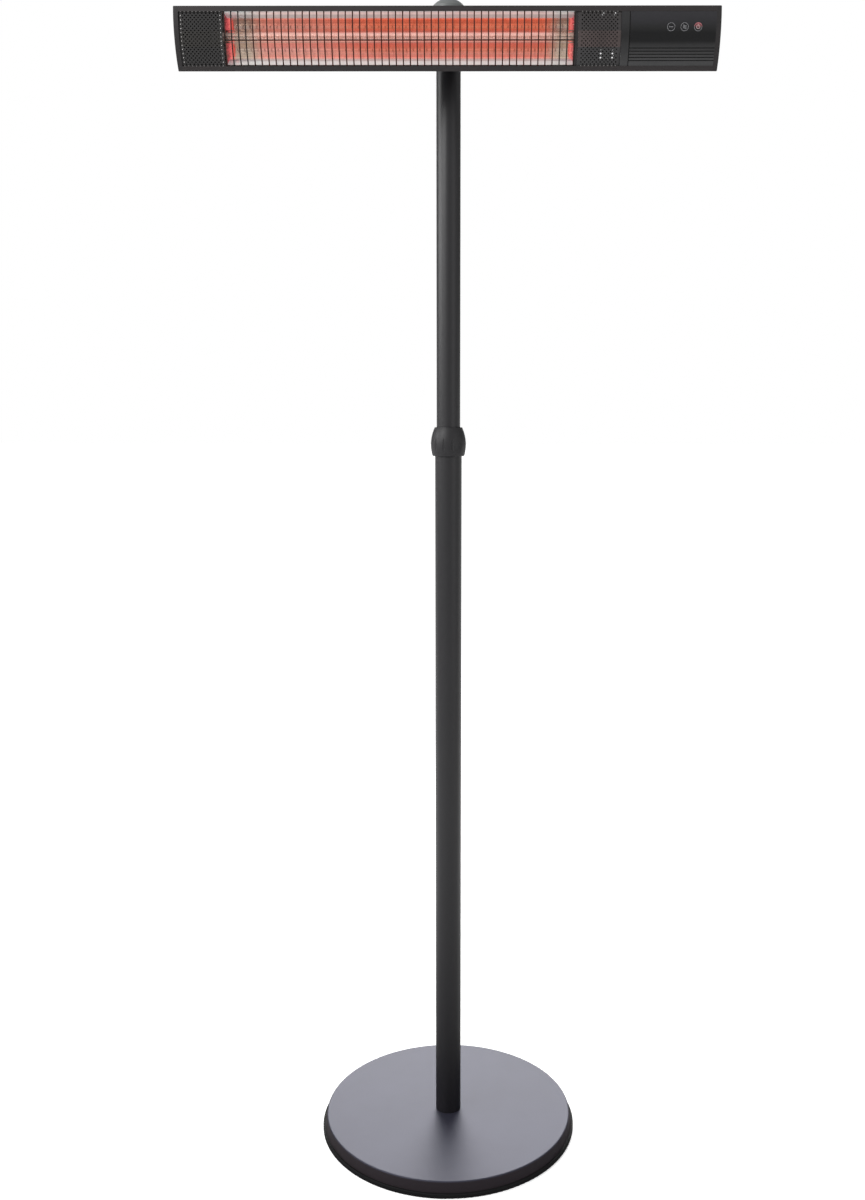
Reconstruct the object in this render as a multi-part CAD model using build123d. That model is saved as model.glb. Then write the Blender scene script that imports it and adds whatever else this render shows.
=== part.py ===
from build123d import *
from math import hypot, sqrt
import os

# Free-standing infrared patio heater: a weighted round base, a two-stage round mast with a
# twist collar, and a long heater head that tilts on a bracket behind it.
# Millimetres. +Z is up, -Y is the side that the heater faces. The origin is the centre of
# the base, on the floor. The head is built level, with its tilt axis on the X axis, and is
# then turned and raised into place.

# ---- fits ----
RUN = 0.08            # radial gap of a round piece that turns or slides in another
GAP = 0.4             # gap between pieces that move past each other
SEAT = 0.2            # gap round a piece that is slipped into a seat

# ---- base ----
BASE_H = 29.0
BASE_TOP_R = 236.0
BASE_EDGE_R = 2.5
COVER_T = 1.2
SKIRT_FLARE = 5.0     # how far the skirt leans out to its lower edge
SKIRT_LIFT = 3.0      # lower edge of the skirt above the floor
RIM_OUT = 3.0         # how far the edge ring stands out past the skirt
RIM_W = 10.0
RIM_H = 9.0
RIM_ROUND = 1.5
FLOOR_PLATE_T = 2.0
FLOOR_PLATE_LIFT = 2.5
WEIGHT_GAP = 2.8      # inside the cover
WEIGHT_T = 6.5
WEIGHT_RIM_W = 7.0
WEIGHT_RIM_H = 12.0
WELL_R = 32.0         # well under the weight for the centre bolt
WELL_WALL = 14.0
WELL_TOP = 15.0
BASE_BOLT_R = 6.0
BASE_BOLT_AF = 19.0
BASE_BOLT_HEAD = 7.5
BASE_BOLT_GRIP = 38.0  # length of thread inside the mast
WASHER_R = 20.0
WASHER_T = 2.5

# ---- mast ----
LOWER_R = 24.0
LOWER_WALL = 1.5
LOWER_L = 1289.0
INSERT_H = 42.0
INSERT_CHAMFER = 1.0
BUSH_SLEEVE_T = 1.34
UPPER_WALL = 1.5
UPPER_L = 1146.0
UPPER_INSIDE = 418.0  # length of the upper tube inside the lower one
GLIDE_H = 26.0
GLIDE_PLUG_H = 18.0
GLIDE_WALL = 7.0

# ---- twist collar ----
FERRULE_T = 2.0
FERRULE_H = 16.0
THREADS = 3
THREAD_PITCH = 4.0
THREAD_DEPTH = 0.5
BUSH_SLEEVE_H = 30.0
BUSH_FLANGE_IN = 0.8  # flange inside the ferrule's outer radius
BUSH_FLANGE_H = 8.0
BUSH_NOSE_T = 1.6
BUSH_NOSE_H = 12.0
BUSH_SLIT = 2.5
COLLAR_H = 51.0
COLLAR_DROP = 18.0    # lower end below the lower tube's top
COLLAR_BELLY = 5.2    # crests outside the ferrule, where it is widest
COLLAR_BELLY_UP = 24.5
COLLAR_FOOT = 2.5     # thickness over the ferrule at the lower end
COLLAR_NECK = 3.3     # and over the upper tube at the top
COLLAR_FOOT_ROUND = 1.5
COLLAR_LOBES = 12
COLLAR_GROOVE_R = 2.6
COLLAR_GROOVE_DEPTH = 1.0

# ---- tilt socket at the mast's top ----
SOCKET_WALL = 7.0
SOCKET_H = 94.0
SOCKET_OVER = 4.0     # above the upper tube's top
SOCKET_ROUND = 3.0
CAP_ROUND_R = 35.6    # radius of the cap's dome
CAP_EDGE_H = 4.4
CAP_OVERHANG = 0.5
CAP_SPIGOT_H = 12.0
LUG_W = 30.0
LUG_R = 12.0
LUG_WEB_H = 44.0
LUG_WEB_W = 8.0
SOCKET_SCREW_R = 3.0
SOCKET_SCREW_HEAD_R = 5.0
SOCKET_SCREW_HEAD_H = 3.0
SOCKET_SCREW_KEY = 5.0
SOCKET_SCREW_KEY_D = 2.0
SOCKET_SCREW_INSET = 18.0

# ---- tilt axis ----
TILT_OUT = 18.0       # axis in front of the socket
TILT_DROP = 56.0      # axis below the socket's top
TILT_DEG = 15.0
PIVOT_R = 4.0
PIVOT_AF = 13.0
PIVOT_HEAD = 5.3
EAR_T = 3.0
EAR_R = 12.0
PIVOT_WASHER_R = 8.0
PIVOT_WASHER_T = 1.6
KNOB_R = 19.0
KNOB_HUB_R = 9.0
KNOB_HUB_L = 7.0
KNOB_L = 14.0
KNOB_LOBES = 6
KNOB_CHAMFER = 1.4
KNOB_BORE_L = 16.0
KNOB_NOTCH_R = 6.0
KNOB_NOTCH_OUT = 2.6  # how far the notches' centres stand outside the knob's rim

# ---- head: casing ----
HEAD_L = 869.5
HEAD_H = 96.0         # chord of the bowed face
HEAD_DEPTH = 62.0     # from that chord to the back wall
BACK_IN = 6.0         # how far the top and bottom lean in towards the back
BACK_OUT = 30.0       # back wall in front of the tilt axis
BACK_CORNER_R = 18.0
FACE_R = 120.0
WALL = 2.0
LIP_H = 8.0
END_CAP_T = 8.0
END_CAP_ROUND = 1.6
END_CAP_SPIGOT = 6.0
END_CAP_SPIGOT_WALL = 2.5
RAIL_W = 22.0         # T-slotted rail that carries the bracket
RAIL_H = 6.0
SLOT_MOUTH = 6.6
SLOT_W = 11.6
SLOT_D = 4.0
FIN_H = 2.6
FIN_T = 1.6
FIN_PITCH = 5.5
FIN_COUNT = 3         # above and below the rail
FIN_GAP = 5.0         # from the rail's side to the first fin's middle
PORT_R = 3.4          # screw ports for the end caps
PORT_HOLE_R = 1.5
PORT_FRONT_Y = 14.0   # their distance behind the chord
PORT_BACK_Y = 8.0     # and in front of the back wall's inner face
PORT_BITE = 0.8       # how far a port sinks into its wall
PORT_BACK_DROP = 1.2  # how far the back ports sit below the wall, at the corner
VENT_W = 3.4
VENT_FROM_MESH = (43.5, 63.0)  # along X from the right mesh panel's left edge
VENT_LOW = (6.0, 25.0)         # up from the back's lower edge
VENT_HIGH = (0.0, 7.5)         # down from the back's upper edge

# ---- head: lengths along X ----
MESH_L_LENGTH = 69.0  # from the casing's left end
WINDOW_GAP_L = 3.0
WINDOW_GAP_R = 6.0
MESH_R_LENGTH = 68.0
CONTROL_L = 150.0     # from the right mesh panel to the casing's right end
PARTITION_IN = 8.0    # behind the control panel's left edge
PARTITION_T = 1.5

# ---- head: guard and mesh panels ----
WIRE_R = 1.1
WIRE_SIDES = 6
WIRE_COUNT = 50
WIRE_WELD = 0.3       # how far two crossing wires sink into each other
CROSS_BEHIND_LIP = 1.5
CROSS_MIDDLE = -1.7
MESH_T = 1.0
TRAY_DEPTH = 9.0      # how far a front tray's top and bottom run back along the casing
MESH_HOLE = 3.4
MESH_PITCH = 5.6
MESH_MARGIN = 4.0

# ---- head: reflector and lamp ----
SHEET = 0.8
REFLECTOR_FRONT = 6.0   # front edge behind the chord
REFLECTOR_IN = 9.0      # front edge below the casing's corner
SHOULDER_DEPTH = 14.0   # where the flared edge meets the trough, behind the front edge
SHOULDER_IN = 8.5       # and inside the front edge
TROUGH_CLEAR = 8.0      # deepest line of each trough in front of the casing's back wall
TROUGH_IN = 21.5        # and inside the front edge
TROUGH_R = 11.0
LAMP_DEPTH = 22.0       # lamp axis behind the chord
LAMP_Z = 3.0
LAMP_R = 8.2
LAMP_WALL = 1.2
LAMP_SEAL = 3.0         # solid quartz at each end
LAMP_END_RUN = 14.0     # quartz beyond the reflector's end plates
RIDGE_GAP = 5.0         # ridge behind the lamp
CORE_R = 3.2
CORE_LEAD_R = 0.7
CORE_FROM_LEFT = 43.0   # unheated lengths inside the window's ends
CORE_FROM_RIGHT = 34.0
END_PLATE_T = 1.2
END_PLATE_GAP = 0.3     # between the guard and an end plate
END_PLATE_FRONT = 3.0   # front edge behind the chord
LAMP_HOLE_GAP = 1.5
CERAMIC_R = 11.5
CERAMIC_L = 20.0
CERAMIC_START = 4.0     # beyond the end plate
CERAMIC_SHOULDER_R = 14.0
CERAMIC_SHOULDER_L = 5.0
HOLDER_T = 1.2
HOLDER_W = 34.0
HOLDER_FOOT = 8.0

# ---- head: control end ----
PANEL_T = 2.5
PANEL_GAP = 0.3         # between the panel and the lips
PANEL_BORDER = 14.0     # plain strip at the panel's left, ended by an upright groove
GROOVE_COUNT = 5
GROOVE_PITCH = 4.6
GROOVE_LOWEST = 7.7     # lowest groove above the panel's lower edge
GROOVE_W = 1.4
GROOVE_D = 0.9
KEY_R = 6.4
KEY_PITCH = 21.4
KEY_FROM_LEFT = 78.3    # first key from the panel's left edge
KEY_DOWN = 22.5         # below the panel's upper edge
KEY_NAMES = ("key_low", "key_high", "key_power")
KEY_T = 5.0
KEY_STEM_R = 3.0
BOARD_IN = 8.0          # board's ends inside the partition and the end cap's spigot
BOARD_T = 1.6
BOARD_EDGE = 17.0       # board's long edges inside the head's height
BOARD_BEHIND = 14.0     # board's front face behind the chord
BOARD_PILLAR_R = 3.0
BOARD_PILLAR_INSET = 5.0
RELAY = (19.0, 15.5, 15.5)
RELAY_FROM = (-31.0, -14.0)   # its middle from the board's
SINK = (30.0, 22.0, 26.0)
SINK_FROM = (31.0, 14.0)
SINK_FINS = 5
SINK_FIN_T = 1.6
SINK_ROOT = 4.0
TERMINALS = (36.0, 16.0, 18.0)
TERMINALS_FROM = (35.0, -14.0)
TERMINAL_WAYS = 3
TERMINAL_SCREW_R = 2.4
GLAND_FROM_END = 86.0   # from the casing's right end
GLAND_UP = 26.0         # above the back's lower edge
GLAND_R = 7.4
GLAND_BORE_R = 4.4
GLAND_AF = 18.0
GLAND_FLANGE = 6.0
GLAND_NUT_H = 14.0
GLAND_NUT_ROUND = 4.0
GLAND_INSIDE = 9.0
GLAND_SPOT = 2.5        # milled flat round the gland's flange
LOCKNUT_H = 4.0

# ---- head: bracket and screws ----
BRACKET_L = 124.0
BRACKET_H = 28.0
BRACKET_T = 3.0
BRACKET_CORNER = 5.0
BRACKET_BOLT_X = 52.0
BRACKET_BOLT_R = 3.0
BRACKET_HEAD_H = 3.0
BRACKET_NUT_AF = 10.0
BRACKET_NUT_H = 5.0
BRACKET_BOLT_OUT = 2.0
SCREW_R = 1.5
SCREW_HEAD_R = 2.9
SCREW_HEAD_H = 1.8
SCREW_L = 16.0
SCREW_SUNK = 0.2
SCREW_SLOT_D = 0.9
SCREW_SLOT_W = 0.8

# ---- worked out from the sizes above: base and mast ----
BASE_SKIRT_R = BASE_TOP_R + SKIRT_FLARE
RIM_R = BASE_SKIRT_R + RIM_OUT
FLOOR_PLATE_R = RIM_R - RIM_W
FLOOR_PLATE_TOP = FLOOR_PLATE_LIFT + FLOOR_PLATE_T
LOWER_BORE = LOWER_R - LOWER_WALL
LOWER_TOP = BASE_H + LOWER_L
UPPER_R = LOWER_BORE - BUSH_SLEEVE_T - 2 * RUN
UPPER_BORE = UPPER_R - UPPER_WALL
UPPER_BOTTOM = LOWER_TOP - UPPER_INSIDE
UPPER_TOP = UPPER_BOTTOM + UPPER_L
FERRULE_R = LOWER_R + FERRULE_T
COLLAR_BOTTOM = LOWER_TOP - COLLAR_DROP
COLLAR_TOP = COLLAR_BOTTOM + COLLAR_H
COLLAR_R = FERRULE_R + COLLAR_BELLY
BUSH_SEAT_Z = LOWER_TOP + GAP / 2
BUSH_FLANGE_R = FERRULE_R - BUSH_FLANGE_IN
BUSH_FLANGE_TOP = BUSH_SEAT_Z + BUSH_FLANGE_H
BUSH_NOSE_R = UPPER_R + BUSH_NOSE_T
SOCKET_R = UPPER_R + SOCKET_WALL
SOCKET_TOP = UPPER_TOP + SOCKET_OVER
SOCKET_BOTTOM = SOCKET_TOP - SOCKET_H
SOCKET_SCREW_ZS = (
    SOCKET_BOTTOM + SOCKET_SCREW_INSET,
    SOCKET_TOP - CAP_SPIGOT_H - SOCKET_SCREW_INSET,
)
TILT_Y = -SOCKET_R - TILT_OUT
TILT_Z = SOCKET_TOP - TILT_DROP
LUG_HALF = LUG_W / 2
EAR_X = LUG_HALF + GAP
EAR_OUT = EAR_X + EAR_T
KNOB_X = EAR_OUT + PIVOT_WASHER_T + GAP

# ---- worked out: the level head, measured from the tilt axis ----
BACK_Y = -BACK_OUT
INNER_BACK_Y = BACK_Y - WALL
RAIL_Y = BACK_Y + RAIL_H
PLATE_Y = RAIL_Y + BRACKET_T
CHORD_Y = BACK_Y - HEAD_DEPTH
ARC_Y = CHORD_Y + sqrt(FACE_R**2 - (HEAD_H / 2) ** 2)    # centre of the face's arc
FACE_Y = ARC_Y - FACE_R
BACK_H = HEAD_H - 2 * BACK_IN
LEAN = BACK_IN / HEAD_DEPTH                              # slope of the top and bottom
MOUTH_H = HEAD_H - 2 * LIP_H
CASING_X = HEAD_L / 2 - END_CAP_T
MESH_L_END = MESH_L_LENGTH - CASING_X
WINDOW_L = MESH_L_END + WINDOW_GAP_L
MESH_R_END = CASING_X - CONTROL_L
MESH_R_START = MESH_R_END - MESH_R_LENGTH
WINDOW_R = MESH_R_START - WINDOW_GAP_R
TRAY_R = FACE_R - WALL - SEAT                            # outside of a tray behind the lips
TRAY_BACK_Y = CHORD_Y + TRAY_DEPTH
WIRE_PATH_R = TRAY_R - WIRE_R
CROSS_PATH_R = WIRE_PATH_R - 2 * WIRE_R + WIRE_WELD
CROSS_EDGE = MOUTH_H / 2 + CROSS_BEHIND_LIP
WIRE_PITCH = (WINDOW_R - WINDOW_L) / (WIRE_COUNT - 1)
PLATE_L = WINDOW_L - WIRE_R - END_PLATE_GAP              # inner faces of the two end plates
PLATE_R = WINDOW_R + WIRE_R + END_PLATE_GAP
LAMP_Y = CHORD_Y + LAMP_DEPTH
LAMP_L = PLATE_L - END_PLATE_T - LAMP_END_RUN            # ends of the quartz tube
LAMP_END = PLATE_R + END_PLATE_T + LAMP_END_RUN
REFLECTOR_Y = CHORD_Y + REFLECTOR_FRONT
REFLECTOR_EDGE = HEAD_H / 2 - REFLECTOR_IN
PANEL_H = MOUTH_H - 2 * PANEL_GAP
PANEL_START = MESH_R_END + SEAT
PARTITION_X = MESH_R_END + PARTITION_IN
KEY_Z = PANEL_H / 2 - KEY_DOWN
KEY_XS = [PANEL_START + KEY_FROM_LEFT + key * KEY_PITCH for key in range(len(KEY_NAMES))]
BOARD_START = PARTITION_X + PARTITION_T + BOARD_IN
BOARD_END = CASING_X - END_CAP_SPIGOT - BOARD_IN
BOARD_X = (BOARD_START + BOARD_END) / 2
BOARD_HALF_H = HEAD_H / 2 - BOARD_EDGE
BOARD_Y = CHORD_Y + BOARD_BEHIND
BOARD_BACK = BOARD_Y + BOARD_T
GLAND_X = CASING_X - GLAND_FROM_END
GLAND_Z = GLAND_UP - BACK_H / 2


def tube(outer, inner, bottom, top):
    """Upright round tube on the Z axis."""
    ring = Circle(outer) - Circle(inner) if inner else Circle(outer)
    return extrude(Pos(0, 0, bottom) * ring, amount=top - bottom)


def turned(points):
    """Solid of revolution about Z from (radius, height) corners."""
    return revolve(Plane.XZ * make_face(Polyline(*points, close=True)), Axis.Z)


def hexagon(across_flats):
    return RegularPolygon(across_flats / 2, 6, major_radius=False)


def across_x(profile, start, end):
    """Extrudes a (Y, Z) profile along X from start to end."""
    return extrude(Plane.YZ.offset(start) * profile, amount=end - start)


def drum(radius, start, end, y=0.0, z=0.0):
    """Round bar along X."""
    return across_x(Pos(y, z) * Circle(radius), start, end)


def along_y(profile, x, z, start, end):
    """Extrudes an (X, Z) profile along +Y from start to end."""
    plane = Plane(origin=(x, start, z), x_dir=(1, 0, 0), z_dir=(0, 1, 0))
    return extrude(plane * profile, amount=end - start)


def block(x, y, z):
    """Box between pairs of opposite faces."""
    size = [abs(span[1] - span[0]) for span in (x, y, z)]
    middle = [(span[0] + span[1]) / 2 for span in (x, y, z)]
    return Pos(*middle) * Box(*size)


def in_head(shape):
    """Turns a piece of the level head by its tilt and raises it to the tilt axis."""
    return Pos(0, TILT_Y, TILT_Z) * Rot(TILT_DEG, 0, 0) * shape


def arc_y(radius, z):
    """Y of the bowed face's arc of that radius at height z, in the level head."""
    return ARC_Y - sqrt(radius**2 - z**2)


def wall_z(y):
    """Height of the casing's inner top face at that Y, in the level head."""
    return HEAD_H / 2 - LEAN * (y - CHORD_Y) - WALL * hypot(1, LEAN)


def bowed_band(outer, thickness, low, high):
    """(Y, Z) section of a sheet that follows the bowed face, between two heights."""
    ring = Pos(ARC_Y, 0) * (Circle(outer) - Circle(outer - thickness))
    return ring & Pos(ARC_Y - outer, (low + high) / 2) * Rectangle(outer, high - low)


def upper_and_lower(points):
    """(Y, Z) faces of a closed outline and of its mirror image below the X axis."""
    upper = make_face(Polyline(*points, close=True))
    lower = make_face(Polyline(*[(y, -z) for y, z in points], close=True))
    return upper + lower


def between_walls():
    """(Y, Z) area between the casing's top and bottom, from the face to a tray's back edge."""
    face, back = (FACE_Y, wall_z(FACE_Y)), (TRAY_BACK_Y, wall_z(TRAY_BACK_Y))
    return upper_and_lower([(FACE_Y, 0), face, back, (TRAY_BACK_Y, 0)])


def front_tray(thickness):
    """(Y, Z) section of a tray behind the lips, whose flanges lie on the casing's walls."""
    tray = bowed_band(TRAY_R, thickness, -HEAD_H / 2, HEAD_H / 2)
    front, back = arc_y(TRAY_R, MOUTH_H / 2), TRAY_BACK_Y
    flange = upper_and_lower(
        [
            (front, wall_z(front)),
            (back, wall_z(back)),
            (back, wall_z(back) - thickness),
            (front, wall_z(front) - thickness),
        ]
    )
    behind = Pos(ARC_Y, 0) * Circle(TRAY_R)
    return (tray & between_walls()) + (flange & behind)


# ------------------------------------------------------------------ base
def base_cover():
    """Spun steel shell with a leaning skirt."""
    slope = SKIRT_FLARE / (BASE_H - SKIRT_LIFT)
    section = Polyline(
        (BASE_BOLT_R + SEAT, BASE_H),
        (BASE_TOP_R, BASE_H),
        (BASE_SKIRT_R, SKIRT_LIFT),
        (BASE_SKIRT_R - COVER_T, SKIRT_LIFT),
        (BASE_TOP_R + (slope - 1) * COVER_T, BASE_H - COVER_T),
        (BASE_BOLT_R + SEAT, BASE_H - COVER_T),
        close=True,
    )
    face = Plane.XZ * make_face(section)
    top_corner = face.vertices().sort_by(Axis.Z)[-2:].sort_by(Axis.X)[-1]
    return revolve(fillet(top_corner, BASE_EDGE_R), Axis.Z)


def base_rim(cover):
    """Rubber edge ring, gripping the skirt's lower edge."""
    section = Pos(RIM_R - RIM_W / 2, RIM_H / 2) * Rectangle(RIM_W, RIM_H)
    outer = section.vertices().sort_by(Axis.X)[-2:]
    section = fillet(outer, RIM_ROUND)
    return revolve(Plane.XZ * section, Axis.Z) - cover


def base_weight():
    """Cast disc with a thick edge and a hub over the centre bolt's well."""
    outer = BASE_TOP_R - COVER_T - WEIGHT_GAP
    hub = WELL_R + WELL_WALL
    under_cover = BASE_H - COVER_T
    weight = tube(outer, WELL_R, FLOOR_PLATE_TOP, FLOOR_PLATE_TOP + WEIGHT_T)
    weight += tube(outer, outer - WEIGHT_RIM_W, FLOOR_PLATE_TOP, FLOOR_PLATE_TOP + WEIGHT_RIM_H)
    weight += tube(hub, WELL_R, FLOOR_PLATE_TOP, under_cover)
    return weight + tube(hub, BASE_BOLT_R + SEAT, WELL_TOP, under_cover)


def base_bolt():
    head_top = WELL_TOP - WASHER_T
    bolt = extrude(Pos(0, 0, head_top) * hexagon(BASE_BOLT_AF), amount=-BASE_BOLT_HEAD)
    return bolt + tube(BASE_BOLT_R, 0, head_top, BASE_H + BASE_BOLT_GRIP)


def base_pieces():
    cover = base_cover()
    return {
        "base_cover": cover,
        "base_rim": base_rim(cover),
        "base_weight": base_weight(),
        "base_floor_plate": tube(FLOOR_PLATE_R, WELL_R, FLOOR_PLATE_LIFT, FLOOR_PLATE_TOP),
        "base_bolt": base_bolt(),
        "base_washer": tube(WASHER_R, BASE_BOLT_R, WELL_TOP - WASHER_T, WELL_TOP),
    }


# ------------------------------------------------------------------ mast
def mast_insert():
    """Threaded plug pressed into the foot of the lower tube."""
    plug = tube(LOWER_BORE, BASE_BOLT_R, BASE_H, BASE_H + INSERT_H)
    return chamfer(plug.edges().filter_by(GeomType.CIRCLE).sort_by(Axis.Z)[-1], INSERT_CHAMFER)


def upper_glide():
    """Plastic plug in the foot of the upper tube, which keeps it central in the lower one."""
    bore = UPPER_BORE - GLIDE_WALL
    bottom = UPPER_BOTTOM - (GLIDE_H - GLIDE_PLUG_H)
    glide = tube(LOWER_BORE - RUN, bore, bottom, UPPER_BOTTOM)
    return glide + tube(UPPER_BORE, bore, UPPER_BOTTOM, bottom + GLIDE_H)


def mast_pieces():
    return {
        "lower_pole": tube(LOWER_R, LOWER_BORE, BASE_H, LOWER_TOP),
        "mast_insert": mast_insert(),
        "upper_pole": tube(UPPER_R, UPPER_BORE, UPPER_BOTTOM, UPPER_TOP),
        "upper_pole_glide": upper_glide(),
    }


# ------------------------------------------------------------------ twist collar
def collar_ferrule():
    """Threaded sleeve pressed over the top of the lower tube."""
    bottom = LOWER_TOP - FERRULE_H
    ferrule = tube(FERRULE_R - THREAD_DEPTH, LOWER_R, bottom, LOWER_TOP)
    for turn in range(THREADS):
        z = bottom + THREAD_PITCH * (turn + 0.5)
        ferrule += tube(FERRULE_R, LOWER_R, z, z + THREAD_PITCH / 2)
    return ferrule


def clamp_bush():
    """Split plastic bush: a sleeve in the lower tube, a flange on its rim and a cone above."""
    bore = UPPER_R + RUN
    bush = turned(
        [
            (bore, LOWER_TOP - BUSH_SLEEVE_H),
            (LOWER_BORE - RUN, LOWER_TOP - BUSH_SLEEVE_H),
            (LOWER_BORE - RUN, BUSH_SEAT_Z),
            (BUSH_FLANGE_R, BUSH_SEAT_Z),
            (BUSH_FLANGE_R, BUSH_FLANGE_TOP),
            (BUSH_NOSE_R, BUSH_FLANGE_TOP + BUSH_NOSE_H),
            (bore, BUSH_FLANGE_TOP + BUSH_NOSE_H),
        ]
    )
    slit = block((0, 2 * BUSH_FLANGE_R), (-BUSH_SLIT / 2, BUSH_SLIT / 2), (0, COLLAR_TOP))
    return bush - slit


def height_collar():
    """Barrel-shaped hand collar with flutes; its inner cone squeezes the bush."""
    foot_r, neck_r = FERRULE_R + COLLAR_FOOT, UPPER_R + COLLAR_NECK
    nose_top = BUSH_FLANGE_TOP + BUSH_NOSE_H + GAP
    neck = UPPER_R + GAP
    skin = ThreePointArc(
        (foot_r, COLLAR_BOTTOM),
        (COLLAR_R, COLLAR_BOTTOM + COLLAR_BELLY_UP),
        (neck_r, COLLAR_TOP),
    )
    inside = Polyline(
        (neck_r, COLLAR_TOP),
        (neck, COLLAR_TOP),
        (neck, nose_top),
        (BUSH_NOSE_R + GAP, nose_top),
        (BUSH_FLANGE_R + GAP, BUSH_FLANGE_TOP),
        (FERRULE_R + RUN, BUSH_FLANGE_TOP - GAP),
        (FERRULE_R + RUN, COLLAR_BOTTOM),
        (foot_r, COLLAR_BOTTOM),
    )
    section = make_face(skin.edges() + inside.edges())
    foot = section.vertices().sort_by(Axis.Y)[:2].sort_by(Axis.X)[-1]
    section = fillet(foot, COLLAR_FOOT_ROUND)
    collar = revolve(Plane.XZ * section, Axis.Z)
    out = COLLAR_R + COLLAR_GROOVE_R - COLLAR_GROOVE_DEPTH
    groove = Pos(out, 0, COLLAR_BOTTOM) * Cylinder(COLLAR_GROOVE_R, 2 * COLLAR_H)
    flutes = [Rot(0, 0, (lobe + 0.5) * 360 / COLLAR_LOBES) * groove for lobe in range(COLLAR_LOBES)]
    return collar.cut(*flutes)


def collar_pieces():
    return {
        "collar_ferrule": collar_ferrule(),
        "clamp_bush": clamp_bush(),
        "height_collar": height_collar(),
    }


# ------------------------------------------------------------------ tilt socket
def tilt_socket():
    """Cast sleeve over the mast's top, with a forward lug that carries the tilt bolt."""
    socket = tube(SOCKET_R, UPPER_R, SOCKET_BOTTOM, SOCKET_TOP)
    rims = socket.edges().filter_by(GeomType.CIRCLE).group_by(Axis.Z)[0]
    socket = fillet(rims.sort_by(SortBy.RADIUS)[-1], SOCKET_ROUND)
    arm = Pos(TILT_Y, TILT_Z) * Circle(LUG_R)
    arm += Pos(TILT_Y / 2, TILT_Z) * Rectangle(-TILT_Y, 2 * LUG_R)
    lug = across_x(arm, -LUG_HALF, LUG_HALF)
    web = make_face(
        Polyline(
            (0, TILT_Z - LUG_WEB_H / 2 - LUG_R),
            (TILT_Y + LUG_R, TILT_Z - LUG_R),
            (TILT_Y + LUG_R, TILT_Z + LUG_R),
            (0, TILT_Z + LUG_WEB_H / 2 + LUG_R),
            close=True,
        )
    )
    lug += across_x(web, -LUG_WEB_W / 2, LUG_WEB_W / 2)
    lug -= tube(UPPER_R + 1, 0, SOCKET_BOTTOM, SOCKET_TOP)
    socket += lug
    socket -= drum(PIVOT_R + RUN, -LUG_W, LUG_W, TILT_Y, TILT_Z)
    head_y = SOCKET_R - SOCKET_SCREW_HEAD_H
    for z in SOCKET_SCREW_ZS:
        socket -= along_y(Circle(SOCKET_SCREW_R), 0, z, 0, SOCKET_R + 1)
        socket -= along_y(Circle(SOCKET_SCREW_HEAD_R + SEAT), 0, z, head_y, SOCKET_R + 1)
    return socket


def socket_screws():
    screws = []
    head_y = SOCKET_R - SOCKET_SCREW_HEAD_H
    key_y = SOCKET_R - SOCKET_SCREW_KEY_D
    for z in SOCKET_SCREW_ZS:
        screw = along_y(Circle(SOCKET_SCREW_R), 0, z, UPPER_R, head_y)
        screw += along_y(Circle(SOCKET_SCREW_HEAD_R), 0, z, head_y, SOCKET_R)
        screw -= along_y(hexagon(SOCKET_SCREW_KEY), 0, z, key_y, SOCKET_R + 1)
        screws.append(screw)
    return Compound(screws)


def mast_cap():
    """Domed cap that closes the socket."""
    edge_r = SOCKET_R + CAP_OVERHANG
    edge_top = SOCKET_TOP + CAP_EDGE_H
    rise = CAP_ROUND_R - sqrt(CAP_ROUND_R**2 - edge_r**2)
    dome = ThreePointArc(
        (edge_r, edge_top),
        (edge_r / 2, edge_top + sqrt(CAP_ROUND_R**2 - edge_r**2 / 4) - CAP_ROUND_R + rise),
        (0, edge_top + rise),
    )
    body = Polyline(
        (0, edge_top + rise), (0, SOCKET_TOP), (edge_r, SOCKET_TOP), (edge_r, edge_top)
    )
    cap = revolve(Plane.XZ * make_face(dome.edges() + body.edges()), Axis.Z)
    return cap + tube(UPPER_BORE - SEAT, 0, SOCKET_TOP - CAP_SPIGOT_H, SOCKET_TOP)


def socket_pieces():
    return {
        "tilt_socket": tilt_socket(),
        "socket_screws": socket_screws(),
        "mast_cap": mast_cap(),
    }


# ------------------------------------------------------------------ tilt bracket, level head
def head_bracket():
    """Folded plate on the casing's rail, with two ears on the tilt bolt."""
    plate = RectangleRounded(BRACKET_L, BRACKET_H, BRACKET_CORNER)
    bracket = along_y(plate, 0, 0, RAIL_Y, PLATE_Y)
    for side in (-1, 1):
        hole = Circle(BRACKET_BOLT_R)
        bracket -= along_y(hole, side * BRACKET_BOLT_X, 0, RAIL_Y - 1, PLATE_Y + 1)
    ear = Circle(EAR_R) + Pos(RAIL_Y / 2, 0) * Rectangle(-RAIL_Y, 2 * EAR_R)
    ear -= Circle(PIVOT_R)
    bracket += across_x(ear, EAR_X, EAR_OUT)
    return bracket + across_x(ear, -EAR_OUT, -EAR_X)


def bracket_bolts():
    """Two T-slot bolts with their nuts."""
    bolts = []
    under_lips = BACK_Y + SLOT_D
    for side in (-1, 1):
        x = side * BRACKET_BOLT_X
        head = Rectangle(SLOT_W - 2 * SEAT, SLOT_W - 2 * SEAT)
        nut_end = PLATE_Y + BRACKET_NUT_H
        bolt = along_y(head, x, 0, under_lips - BRACKET_HEAD_H, under_lips)
        bolt += along_y(Circle(BRACKET_BOLT_R), x, 0, under_lips, nut_end + BRACKET_BOLT_OUT)
        bolt += along_y(hexagon(BRACKET_NUT_AF), x, 0, PLATE_Y, nut_end)
        bolts.append(bolt)
    return Compound(bolts)


def pivot_bolt():
    """Tilt bolt, held by its head outside the left ear; its end is inside the hand knob."""
    bolt = drum(PIVOT_R, -EAR_OUT, KNOB_X + KNOB_BORE_L - GAP)
    head = Plane.YZ.offset(-EAR_OUT - PIVOT_HEAD) * hexagon(PIVOT_AF)
    return bolt + extrude(head, amount=PIVOT_HEAD)


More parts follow.
